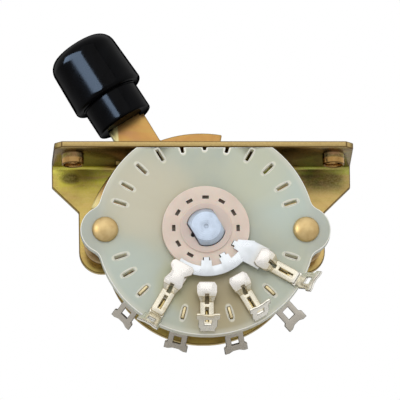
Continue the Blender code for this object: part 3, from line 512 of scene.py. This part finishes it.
def lever_finish():
    """Painted highlights beside the tip on the arm's left edge and on the rim of the sector's left end.

    Places are in millimetres from the shaft's axis, along the arm and to its side.
    """
    made, nodes, shader = finish_of("lever_yellow_zinc", 1.0)
    grain = nodes.group(sheet_grain, Grain=0.4, Marks=0.6, Roughness=0.3)
    where = nodes.group(round_shaft)
    cosine, sine = math.cos(LEAN), math.sin(LEAN)
    side = nodes.math("ADD", nodes.product(where["Across"], cosine), nodes.product(where["Up"], sine))
    along = nodes.math("SUBTRACT", nodes.product(where["Up"], cosine), nodes.product(where["Across"], sine))
    tan, green, pale = (0.49, 0.265, 0.085, 1), (0.46, 0.36, 0.10, 1), (0.74, 0.67, 0.32, 1)
    colour = nodes.group(yellow_chromate, Base=tan, Green=green, Pooling=0.35)[0]
    colour = nodes.mix(nodes.spread(grain["Stain"], 0.4, 0.7, 0, 0.4), colour, (0.40, 0.20, 0.07, 1))
    # Painted highlight on the arm's left edge by the tip, and painted shade on the other rolled edges.
    left_edge_highlight = nodes.product(nodes.spread(side, -2.6, -3.0), nodes.spread(along, 15.6, 16.6))
    edge_light_and_shade = nodes.mix(left_edge_highlight, (0.30, 0.19, 0.06, 1), (0.74, 0.66, 0.32, 1))
    colour = nodes.mix(nodes.product(nodes.edge(), 0.75), colour, edge_light_and_shade)
    # Painted highlight: a pale wedge beside the tip's collar and a pale rim on the sector's left end.
    wedge = nodes.math("MULTIPLY_ADD", nodes.math("SUBTRACT", along, 20.6), 0.5, -3.2)
    wear_and_highlight = nodes.spread(nodes.math("SUBTRACT", side, wedge), 0.15, -0.15)
    wear_and_highlight = nodes.product(wear_and_highlight, nodes.spread(along, 24.6, 24.2), nodes.spread(along, 19.9, 20.5))
    rim = nodes.product(nodes.spread(where["Radius"], 16.3, 16.9), nodes.spread(side, -8.0, -12.0))
    wear_and_highlight = nodes.math("MAXIMUM", wear_and_highlight, rim)
    nodes.feed(shader["Base Color"], nodes.mix(nodes.product(wear_and_highlight, 0.85), colour, pale))
    nodes.feed(shader["Roughness"], grain["Roughness"])
    nodes.feed(shader["Normal"], nodes.bump(grain["Height"], 0.25))
    return made


lever = put("lever_plated", rounded_copy("lever", 0.16 * MM, weld=0.15 * MM), lever_finish())
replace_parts(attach(lever, "lever_set"), "lever")


# Tip. A glossy black moulded barrel with a narrower collar, hollow for the lever's tongue, and pushed on
# by hand, so it stands slightly crooked.
TIP_FOOT, TIP_STEP, TIP_TOP = 23.9 * MM, 28.6 * MM, 38.76 * MM  # from the shaft's axis along the arm
TIP_RADIUS, TIP_CROWN_RADIUS, TIP_COLLAR_RADIUS = 5.9 * MM, 5.6 * MM, 4.68 * MM
CROWN_ROUNDING, STEP_ROUNDING, FOOT_ROUNDING = 2.4 * MM, 0.7 * MM, 0.35 * MM
CROWN_DOME = 0.3 * MM  # how far the top bulges inside the crown's rounding
STEP_FILLET = 0.12 * MM  # where the collar meets the barrel
TIP_CROOKED = math.radians(1.5)
TONGUE_HOLE = Vector((5.2, 1.7, 10.5)) * MM
LEVER_MIDDLE = 1.95 * MM  # the middle of the lever's thickness, in front of the back plate


def quarter(radius, centre, start, end, steps):
    """Points (radius, height) on an arc, angles in degrees from straight out."""
    turns = [math.radians(start + (end - start) * i / steps) for i in range(steps + 1)]
    return [(centre[0] + radius * math.cos(a), centre[1] + radius * math.sin(a)) for a in turns]


def spun(name, profile, place, steps=96):
    """A turned shape: the profile's points are (radius, height), from its top down its outer side."""
    shape = bmesh.new()
    rings = []
    for radius, height in profile:
        if radius < 1e-9:
            rings.append([shape.verts.new((0, 0, height))])
            continue
        turns = [2 * math.pi * i / steps for i in range(steps)]
        rings.append([shape.verts.new((radius * math.cos(a), radius * math.sin(a), height)) for a in turns])
    for upper, lower in zip(rings, rings[1:]):
        for i in range(steps):
            corners = [upper[i % len(upper)], lower[i % len(lower)]]
            corners += [lower[(i + 1) % steps]] if len(lower) > 1 else []
            corners += [upper[(i + 1) % steps]] if len(upper) > 1 else []
            shape.faces.new(corners)
    bmesh.ops.recalc_face_normals(shape, faces=shape.faces)
    shape.transform(place)
    mesh = bpy.data.meshes.new(name)
    shape.to_mesh(mesh)
    shape.free()
    return mesh


def tip_profile():
    """From the top down. Points close to a rounding keep the smooth shading of the flat runs true."""
    crown = (TIP_CROWN_RADIUS - CROWN_ROUNDING, TIP_TOP - CROWN_DOME - CROWN_ROUNDING)
    step = (TIP_RADIUS - STEP_ROUNDING, TIP_STEP + STEP_ROUNDING)
    foot = (TIP_COLLAR_RADIUS - FOOT_ROUNDING, TIP_FOOT + FOOT_ROUNDING)
    points = [(0, TIP_TOP), (1.2 * MM, TIP_TOP - 0.03 * MM), (2.4 * MM, TIP_TOP - 0.14 * MM)]
    points += quarter(CROWN_ROUNDING, crown, 82, 0, 14)
    taper = (TIP_RADIUS - TIP_CROWN_RADIUS) / (crown[1] - step[1])
    for height in (crown[1] - 0.3 * MM, step[1] + 0.3 * MM):
        points.append((TIP_CROWN_RADIUS + taper * (crown[1] - height), height))
    points += quarter(STEP_ROUNDING, step, 0, -82, 8)
    points += [(TIP_COLLAR_RADIUS + STEP_FILLET, TIP_STEP), (TIP_COLLAR_RADIUS, TIP_STEP - STEP_FILLET)]
    points += [(TIP_COLLAR_RADIUS, TIP_STEP - 0.3 * MM), (TIP_COLLAR_RADIUS, TIP_FOOT + 0.6 * MM)]
    points += quarter(FOOT_ROUNDING, foot, 0, -90, 6)
    return points + [(0, TIP_FOOT)]


def tip_finish():
    """Glossy black, moulded with faint swirls and a little dust. Its rims stay dark."""
    made, nodes, shader = finish_of("tip_black_plastic", 0.0)
    grazing = nodes.add("ShaderNodeLayerWeight", 0.5, out=1)
    nodes.feed(shader["Specular IOR Level"], nodes.spread(grazing, 0.5, 0.8, 0.05, 0.0))
    swirl = nodes.noise(nodes.place((1, 1, 0.5)), 0.5, 3, 0.5, 0.4)
    dust = nodes.noise(nodes.place(), 2.4, 4, 0.6)
    colour = nodes.mix(nodes.spread(swirl, 0.3, 0.7), (0.0009, 0.0009, 0.0012, 1), (0.0022, 0.0023, 0.003, 1))
    colour = nodes.mix(nodes.spread(dust, 0.58, 0.72, 0, 0.2), colour, (0.008, 0.009, 0.012, 1))
    nodes.feed(shader["Base Color"], colour)
    nodes.feed(shader["Roughness"], nodes.math("MULTIPLY_ADD", swirl, 0.07, 0.09))
    nodes.feed(shader["Normal"], nodes.bump(dust, 0.03, 0.02))
    return made


def box_mesh(name, place, size):
    shape = bmesh.new()
    bmesh.ops.create_cube(shape, size=1, matrix=place @ Matrix.Diagonal((*size, 1)))
    mesh = bpy.data.meshes.new(name)
    shape.to_mesh(mesh)
    shape.free()
    return mesh


def make_tip():
    """The barrel, with the tongue's pocket cut into it square to the lever."""
    upright = Matrix.Translation(SHAFT_AXIS - Vector((0, LEVER_MIDDLE, 0))) @ Matrix.Rotation(-LEAN, 4, "Y")
    foot = upright @ Matrix.Translation((0, 0, TIP_FOOT))
    crooked = foot @ Matrix.Rotation(-TIP_CROOKED, 4, "Y") @ Matrix.Translation((0, 0, -TIP_FOOT))
    pocket = Vector((TONGUE_HOLE.x, TONGUE_HOLE.y, 2 * TONGUE_HOLE.z))  # half of it is outside the tip
    barrel = put("tip_barrel", spun("tip_barrel", tip_profile(), crooked), None)
    tool = put("tongue_hole", box_mesh("tongue_hole", foot, pocket), None)
    step = barrel.modifiers.new("tongue_hole", "BOOLEAN")
    step.operation = "DIFFERENCE"
    step.object = tool
    graph = bpy.context.evaluated_depsgraph_get()
    mesh = bpy.data.meshes.new_from_object(barrel.evaluated_get(graph))
    for used in (barrel, tool):
        bpy.data.objects.remove(used)
    return put("lever_tip_moulded", smoothed(mesh), tip_finish())


tip = make_tip()
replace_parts(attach(tip, "lever_set"), "lever_tip")


# Detent spring. A thin spring strip with a ring round the shaft, an eye on each tie rivet, and two pressed
# domes that drop into the holes of the lever's hub.
spring_steel = turned_finish("spring_steel", (0.46, 0.33, 0.17), (0.34, 0.22, 0.11), 0.3, 0.5, 0.05)
spring = put("detent_spring_strip", rounded_copy("detent_spring", 0.04 * MM), spring_steel)
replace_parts(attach(spring, "frame"), "detent_spring")


# Ties. Two brass rivets with domed heads clamp the wafer, four turned spacers, the spring and the bracket
# into one stack.
spacer_steel = turned_finish("spacer_steel", (0.34, 0.25, 0.14), (0.24, 0.16, 0.08), 0.42, 0.3, 0.1)
rivet_brass = turned_finish("rivet_brass", (0.68, 0.51, 0.25), (0.56, 0.39, 0.17), 0.36, 0.16, 0.15, 0.5)
rivets = []
for side in ("left", "right"):
    rivet = put("tie_rivet_" + side + "_domed", rounded_copy("tie_rivet_" + side, 0.05 * MM), rivet_brass)
    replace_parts(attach(rivet, "frame"), "tie_rivet_" + side)
    rivets.append(rivet)
    for where in ("front", "rear"):
        node = "spacer_" + where + "_" + side
        spacer = put(node + "_tube", rounded_copy(node, 0.05 * MM), spacer_steel)
        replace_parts(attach(spacer, "frame"), node)


# Wafer. Pale fibre board, slightly translucent, punched with a ring of slots at 15 degrees and clamped by
# its two ears. The punch raises and whitens a lip round each slot. The board is pale along its edge, a
# painted highlight, and painted light from the golden plate shows through it low in the middle.
SLOT_MIDDLE = 14.15 * MM  # from the axis
SLOT_PITCH = 15
SLOT_TURNS = (18, 30, 45, 60, 75, 90)  # degrees up from the ear, in each quarter
BOARD_FLAT = 13.55 * MM  # axis up to the flat top, which cuts through the highest slots
BOARD_FACES = (-5.3 * MM, -3.7 * MM)  # its front and its rear face
LIP_LENGTH, LIP_SPAN = 2.34 * MM, 0.78 * MM  # of the bead's middle line, round the slot
LIP_WIDTH, LIP_HEIGHT = 0.22 * MM, 0.045 * MM


def near(nodes, across, up, centre, reach):
    """1 at a spot of the board, given in millimetres from the axis, and 0 from the reach on."""
    off = nodes.squares(nodes.math("SUBTRACT", across, centre[0]), nodes.math("SUBTRACT", up, centre[1]))
    return nodes.spread(off, reach * reach, 0.05 * reach * reach)


def slot_halo(nodes, across, up, radius):
    """1 close round each punched slot. The four quarters of the ring fold onto one."""
    side, height = nodes.math("ABSOLUTE", across), nodes.math("ABSOLUTE", up)
    turn = nodes.product(nodes.math("ARCTAN2", height, side), 180 / math.pi)
    beside_ear = nodes.math("LESS_THAN", turn, 1.5 * SLOT_PITCH)
    step = nodes.product(nodes.math("ROUND", nodes.math("DIVIDE", turn, SLOT_PITCH)), SLOT_PITCH)
    centre = nodes.math("MULTIPLY_ADD", beside_ear, nodes.math("SUBTRACT", SLOT_TURNS[0], step), step)
    off = nodes.product(nodes.math("SUBTRACT", turn, centre), math.pi / 180)
    wide = nodes.math("DIVIDE", nodes.product(radius, nodes.math("SINE", off)), 0.58)
    run = nodes.product(radius, nodes.math("COSINE", off))
    long = nodes.math("DIVIDE", nodes.math("SUBTRACT", run, SLOT_MIDDLE / MM), 1.42)
    wide, long = nodes.math("ABSOLUTE", wide), nodes.math("ABSOLUTE", long)
    reach = nodes.math("ADD", nodes.math("POWER", wide, 2.5), nodes.math("POWER", long, 2.5))
    return nodes.spread(reach, 1.5, 0.8)


def board_finish():
    """Fibre board, warmer or cooler from place to place. Places are in millimetres from the axis."""
    made, nodes, shader = finish_of("fibre_board", 0.0, Subsurface_Weight=0.25, Subsurface_Scale=0.0012)
    shader["Subsurface Radius"].default_value = (1.0, 0.9, 0.6)
    where = nodes.group(round_shaft)
    across, up, radius = where["Across"], where["Up"], where["Radius"]
    mottle = nodes.noise(nodes.place(), 0.25, 3, 0.5)
    colour = nodes.mix(nodes.spread(mottle, 0.3, 0.7), (0.47, 0.51, 0.43, 1), (0.52, 0.54, 0.43, 1))
    for centre, reach, share, tint in (
        ((-9, 5), 10, 0.9, (0.62, 0.58, 0.44)),
        ((-13, -8), 8, 0.9, (0.52, 0.58, 0.51)),
        ((14, 5), 8, 0.9, (0.53, 0.60, 0.53)),
        ((8, 9), 7, 0.7, (0.58, 0.60, 0.46)),
        ((-4, -9), 5, 0.6, (0.56, 0.55, 0.30)),
        # painted light: the golden plate behind shows through the board low in the middle
        ((2, -12), 8, 0.9, (0.43, 0.35, 0.19)),
        ((12, -9), 6, 0.7, (0.50, 0.54, 0.45)),
    ):
        mask = nodes.product(near(nodes, across, up, centre, reach), share)
        colour = nodes.mix(mask, colour, (*tint, 1))
    halo = slot_halo(nodes, across, up, radius)
    colour = nodes.mix(nodes.product(halo, 0.85), colour, (0.86, 0.84, 0.70, 1))
    # Painted highlight: the board's rim and its rolled edge are painted pale.
    rim = nodes.spread(radius, 16.2, 17.0)
    ears = nodes.spread(nodes.math("ABSOLUTE", across), 15.0, 17.5)
    rim = nodes.product(rim, nodes.math("SUBTRACT", 1.0, ears))
    colour = nodes.mix(nodes.product(rim, 0.4), colour, (0.74, 0.72, 0.62, 1))
    colour = nodes.mix(nodes.product(ears, 0.5), colour, (0.44, 0.46, 0.42, 1))
    colour = nodes.mix(nodes.product(nodes.edge(), 0.9), colour, (0.93, 0.92, 0.84, 1))
    nodes.feed(shader["Base Color"], colour)
    warp, weft = (nodes.math("SINE", nodes.product(way, 12)) for way in (across, up))
    weave = nodes.product(warp, weft)
    fibre = nodes.math("MULTIPLY_ADD", weave, 0.3, nodes.noise(nodes.place((1, 1, 3)), 4, 3, 0.6))
    nodes.feed(shader["Roughness"], nodes.spread(mottle, 0.2, 0.8, 0.36, 0.5))
    nodes.feed(shader["Normal"], nodes.bump(fibre, 0.12))
    return made


def lip_tree(finish):
    """The low lip that the punch raises round a slot, in the plane of the spot."""
    tree, nodes, given = growth("punched_lip", ("Slot Length", "Slot Width", "Lip Width", "Lip Height"))
    line = nodes.add("GeometryNodeCurvePrimitiveQuadrilateral", given["Slot Length"], given["Slot Width"])
    line = nodes.add("GeometryNodeFilletCurve", line, 4, given["Lip Width"], True, mode="POLY")
    half = nodes.product(given["Lip Width"], 0.5)
    bead = nodes.add("GeometryNodeCurvePrimitiveCircle", 8, None, None, None, half)
    ring = nodes.add("GeometryNodeCurveToMesh", line, bead, 1.0, False)
    flat = nodes.add("ShaderNodeCombineXYZ", 1.0, 1.0, nodes.math("DIVIDE", given["Lip Height"], half))
    ring = nodes.add("GeometryNodeTransform", ring, None, None, flat)
    set_out(nodes, given, ring, finish)
    return tree


board = board_finish()
wafer = put("wafer_board", rounded_copy("wafer", 0.14 * MM), board)
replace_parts(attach(wafer, "frame"), "wafer")
upper = {turn for quarter_turn in SLOT_TURNS for turn in (quarter_turn, 180 - quarter_turn)}
slots = []
for face, tip_over in zip(BOARD_FACES, (90, -90)):
    for turn in sorted(upper | {-turn for turn in upper}):
        angle = math.radians(turn)
        across, up = SLOT_MIDDLE * math.cos(angle), SLOT_MIDDLE * math.sin(angle)
        if up < BOARD_FLAT - 0.5 * MM:  # a slot that the flat top cuts has no lip
            slots.append(((across, face, SHAFT_AXIS.z + up), (math.radians(tip_over), -angle, 0)))
lips = grow(
    "wafer_slot_lips",
    slots,
    lip_tree(board),
    Slot_Length=LIP_LENGTH,
    Slot_Width=LIP_SPAN,
    Lip_Width=LIP_WIDTH,
    Lip_Height=LIP_HEIGHT,
)
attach(lips, "frame")


# Rotor. Two moulded halves on the shaft's flats, one each side of the wafer, with twelve pockets for the
# blades' folded tabs. Their floors are painted dark.
def rotor_finish():
    """Pale pink moulding, greyer on the boss, with the floors of the ring of pockets painted dark."""
    made, nodes, shader = finish_of("rotor_moulding", 0.0, Subsurface_Weight=0.2, Subsurface_Scale=0.0008)
    where = nodes.group(round_shaft)
    cloud = nodes.noise(nodes.place(), 0.3, 3, 0.5)
    colour = nodes.mix(nodes.spread(cloud, 0.3, 0.7), (0.79, 0.66, 0.56, 1), (0.72, 0.59, 0.50, 1))
    colour = nodes.mix(nodes.spread(where["Radius"], 4.3, 3.9, 0, 0.6), colour, (0.60, 0.49, 0.44, 1))
    # Painted highlight: the rolled edges are painted a little paler.
    colour = nodes.mix(nodes.product(nodes.edge(), 0.4), colour, (0.82, 0.72, 0.64, 1))
    # The pocket floors are painted dark.
    depth = nodes.math("ABSOLUTE", nodes.math("ADD", where["Along"], 11.7))
    ring = nodes.product(nodes.spread(where["Radius"], 4.5, 4.7), nodes.spread(where["Radius"], 5.6, 5.4))
    dark_pocket_floor = nodes.product(ring, nodes.spread(depth, 1.66, 1.5))
    colour = nodes.mix(nodes.product(dark_pocket_floor, 0.85), colour, (0.10, 0.07, 0.045, 1))
    nodes.feed(shader["Base Color"], colour)
    nodes.feed(shader["Roughness"], nodes.spread(cloud, 0.2, 0.8, 0.42, 0.55))
    nodes.feed(shader["Normal"], nodes.bump(nodes.noise(nodes.place(), 6, 2, 0.5), 0.08))
    return made


moulding = rotor_finish()
for node in ("rotor_front", "rotor_rear"):
    rotor = put(node + "_moulded", rounded_copy(node, 0.05 * MM), moulding)
    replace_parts(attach(rotor, "lever_set"), node)


# Blades. Silver-plated bronze stamped to a ring sector with one tooth, one on each face of the wafer. Three
# tabs fold down into the rotor's pockets and turn the blade with it.
def silver_finish():
    """White plate, slightly stained, and warmer where the contacts rub it."""
    made, nodes, shader = finish_of("silver_plate", 1.0)
    grain = nodes.group(sheet_grain, Grain=0.6, Marks=0.5, Roughness=0.3)
    where = nodes.group(round_shaft)
    tint = nodes.mix(nodes.spread(grain["Stain"], 0.4, 0.7), (0.71, 0.74, 0.77, 1), (0.64, 0.67, 0.69, 1))
    wear_and_highlight = nodes.product(nodes.spread(where["Radius"], 8.2, 9.4), 0.5)
    tint = nodes.mix(wear_and_highlight, tint, (0.76, 0.73, 0.66, 1))
    # Painted shade: the rolled edges are painted darker.
    nodes.feed(shader["Base Color"], nodes.mix(nodes.product(nodes.edge(), 0.5), tint, (0.55, 0.52, 0.47, 1)))
    nodes.feed(shader["Roughness"], grain["Roughness"])
    nodes.feed(shader["Normal"], nodes.bump(grain["Height"], 0.1))
    return made


silver = silver_finish()
for node in ("blade_front", "blade_rear"):
    blade = put(node + "_plated", rounded_copy(node, 0.04 * MM, weld=0.008 * MM, clamp=True), silver)
    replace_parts(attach(blade, "lever_set"), node)


# Contacts. Tinned spring clips, stapled through the wafer's slots, four on each face. Two leaves grip the
# blade, and the lug outside the wafer is bent up for the wire, with a window and a fishtail end.
def tinned_finish():
    """Bright at the jaws, painted shade gold on the bodies and grey at the rear, front lugs painted light."""
    made, nodes, shader = finish_of("tinned_contact", 1.0)
    grain = nodes.group(sheet_grain, Grain=0.6, Marks=0.6, Roughness=0.26)
    where = nodes.group(round_shaft)
    # Painted shade: past the jaws the bodies are painted gold-brown, deeper where stains fall.
    body_shade = nodes.spread(nodes.math("MULTIPLY_ADD", grain["Speck"], 2.4, where["Radius"]), 11.6, 13.4)
    colour = nodes.mix(body_shade, (0.79, 0.76, 0.72, 1), (0.75, 0.70, 0.57, 1))
    stain_and_shade = nodes.product(body_shade, nodes.spread(grain["Stain"], 0.5, 0.75))
    colour = nodes.mix(stain_and_shade, colour, (0.62, 0.52, 0.33, 1))
    # Painted light: the front lugs are painted pale.
    lug = nodes.spread(where["Radius"], 15.7, 16.5)
    colour = nodes.mix(lug, colour, (0.94, 0.91, 0.82, 1))
    # Painted shade: the rear clips are painted grey.
    rear = nodes.spread(where["Along"], -11.6, -10.6)
    colour = nodes.mix(nodes.product(rear, 0.85), colour, (0.47, 0.43, 0.37, 1))
    # Painted reflection: the staple ends in the slots are painted gold-brown.
    in_slot = nodes.spread(where["Radius"], 15.2, 15.1)
    staple_reflection = nodes.product(nodes.spread(where["Along"], -12.95, -12.7), in_slot, 0.8)
    colour = nodes.mix(staple_reflection, colour, (0.62, 0.47, 0.16, 1))
    # Painted shade: dark outlines on the edges of the lugs and rear clips, gold-brown ones elsewhere.
    edge_shade = nodes.mix(nodes.math("MAXIMUM", lug, rear), (0.52, 0.42, 0.24, 1), (0.03, 0.025, 0.02, 1))
    colour = nodes.mix(nodes.product(nodes.edge(), 0.85), colour, edge_shade)
    nodes.feed(shader["Base Color"], colour)
    nodes.feed(shader["Roughness"], grain["Roughness"])
    nodes.feed(shader["Normal"], nodes.bump(grain["Height"], 0.12))
    return made


tinned = tinned_finish()
for face in ("front", "rear"):
    for kind in ("common_contact", "throw_contact_1", "throw_contact_2", "throw_contact_3"):
        node = face + "_" + kind
        contact = put(node + "_clip", rounded_copy(node, 0.06 * MM, 35, weld=0.036 * MM), tinned)
        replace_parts(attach(contact, "frame"), node)


# Studio. A pale floor below the hanging switch that is only seen from above, soft boxes, and dark cards that
# only reflections see. One box lights the tip alone and one the rivets, for the highlights they show.
HOUSING_BEHIND = 10 * MM
HOUSING_SHARE = 1.08  # of the lamp's size
COOL_WINDOW, WARM_GLINT = (0.52, 0.71, 1.0), (1.0, 0.96, 0.84)
FLOOR_LEVEL = -40 * MM
SKY_LIGHT = 0.65  # of the white that the camera, reflections and clear things see
PICTURE_WIDTH = 63.1 * MM  # at the wafer's front
PIXEL = PICTURE_WIDTH / 400
CAMERA_DISTANCE = 3


def aim(azimuth, elevation):
    """The direction from the switch: azimuth 0 is in front of the wafer and 90 on its right."""
    a, e = math.radians(azimuth), math.radians(elevation)
    return Vector((math.sin(a) * math.cos(e), -math.cos(a) * math.cos(e), math.sin(e)))


def facing(place, direction):
    return Matrix.Translation(place) @ Vector(direction).to_track_quat("Z", "Y").to_matrix().to_4x4()


def stage_card(name, place, size, finish, seen_by=("glossy",)):
    mesh = bpy.data.meshes.new(name)
    spread_out = place @ Matrix.Diagonal((size[0] / 2, size[1] / 2, 1, 1))
    corners = [spread_out @ Vector((x, y, 0)) for x, y in ((-1, -1), (1, -1), (1, 1), (-1, 1))]
    mesh.from_pydata(corners, [], [(0, 1, 2, 3)])
    card = put(name, mesh, finish)
    for ray in ("camera", "diffuse", "glossy", "transmission", "shadow"):
        setattr(card, "visible_" + ray, ray in seen_by)


def soft_box(name, direction, distance, size, radiance, colour=(1, 1, 1), only=()):
    """A lamp, with a dark housing behind it for reflections, or bare where it lights only some pieces."""
    light = bpy.data.lights.new(name, "AREA")
    light.shape = "RECTANGLE"
    light.size, light.size_y = size
    light.energy = 4 * radiance * size[0] * size[1]
    light.color = colour
    lamp = bpy.data.objects.new(name, light)
    bpy.context.scene.collection.objects.link(lamp)
    lamp.matrix_world = facing(SHAFT_AXIS + direction * distance, direction)
    lamp.visible_camera = False
    if only:
        lit = bpy.data.collections.new(name + "_lights")
        for piece in only:
            lit.objects.link(piece)
        lamp.light_linking.receiver_collection = lit
        lamp.visible_diffuse = False
        return
    housing = facing(SHAFT_AXIS + direction * (distance + HOUSING_BEHIND), -direction)
    stage_card(name + "_housing", housing, [HOUSING_SHARE * side for side in size], dark_card)


dark_card = finish_of("dark_card", 0.0, Roughness=1.0, Base_Color=(0.02, 0.02, 0.02, 1))[0]
soft_box("key_box", aim(-4, 32), 0.6, (0.55, 0.5), 1.05)
soft_box("window_box", aim(-51, -1), 0.5, (0.62, 0.52), 36.0, COOL_WINDOW, only=[tip])
soft_box("glint_box", aim(-58, 8), 0.5, (0.16, 0.3), 3.2, WARM_GLINT, only=rivets)
soft_box("rear_fill", aim(150, 30), 0.7, (0.4, 0.4), 0.8)
for name, direction, distance, size in (
    ("dark_card_below", aim(0, -66), 0.5, (1.0, 0.4)),
    ("dark_card_behind", aim(178, 22), 0.6, (0.9, 0.55)),
):
    stage_card(name, facing(SHAFT_AXIS + direction * distance, -direction), size, dark_card)


def floor_finish():
    """Pale and matt from above. From below it lets all light through, because the camera looks up past it."""
    made, nodes, shader = finish_of("pale_floor", 0.0, Roughness=0.9, Base_Color=(0.86, 0.86, 0.86, 1))
    under = nodes.add("ShaderNodeNewGeometry").node.outputs["Backfacing"]
    above = made.node_tree.nodes["Principled BSDF"].outputs[0]
    seen = nodes.add("ShaderNodeMixShader", under, above, nodes.add("ShaderNodeBsdfTransparent"))
    nodes.feed(made.node_tree.nodes["Material Output"].inputs[0], seen)
    return made


floor_seen_by = ("camera", "diffuse", "glossy", "shadow")
stage_card("floor", Matrix.Translation((0, 0, FLOOR_LEVEL)), (6, 6), floor_finish(), floor_seen_by)

world = bpy.data.worlds.new("studio")
bpy.context.scene.world = world
world.use_nodes = True
sky = Nodes(world.node_tree)
rays = sky.add("ShaderNodeLightPath").node.outputs
seen = sky.math("ADD", rays["Is Glossy Ray"], rays["Is Transmission Ray"])
seen = sky.math("MINIMUM", sky.math("ADD", rays["Is Camera Ray"], seen), 1.0)
background = world.node_tree.nodes["Background"].inputs
background["Color"].default_value = (1, 1, 1, 1)
sky.feed(background["Strength"], sky.math("MULTIPLY_ADD", seen, 1 - SKY_LIGHT, SKY_LIGHT))

camera = bpy.data.objects.new("camera", bpy.data.cameras.new("camera"))
bpy.context.scene.collection.objects.link(camera)
bpy.context.scene.camera = camera
back = aim(-2.8, -16.3)
turn = back.to_track_quat("Z", "Y").to_matrix().to_4x4()
level = turn.inverted() @ Vector((1, 0, 0, 0))  # keeps the flange level in the picture
turn = turn @ Matrix.Rotation(math.atan2(level[1], level[0]), 4, "Z")
right, up = turn.col[0].xyz, turn.col[1].xyz
wafer_middle = Vector((0, BOARD_FACES[0], SHAFT_AXIS.z))
centre = wafer_middle - right * (5.7 * PIXEL) + up * (29.5 * PIXEL)  # the picture's middle
camera.matrix_world = Matrix.Translation(centre + back * CAMERA_DISTANCE) @ turn
camera.data.sensor_width = 36
camera.data.lens = 36 * CAMERA_DISTANCE / PICTURE_WIDTH
camera.data.clip_end = 20
bpy.context.scene.view_settings.view_transform = "Standard"
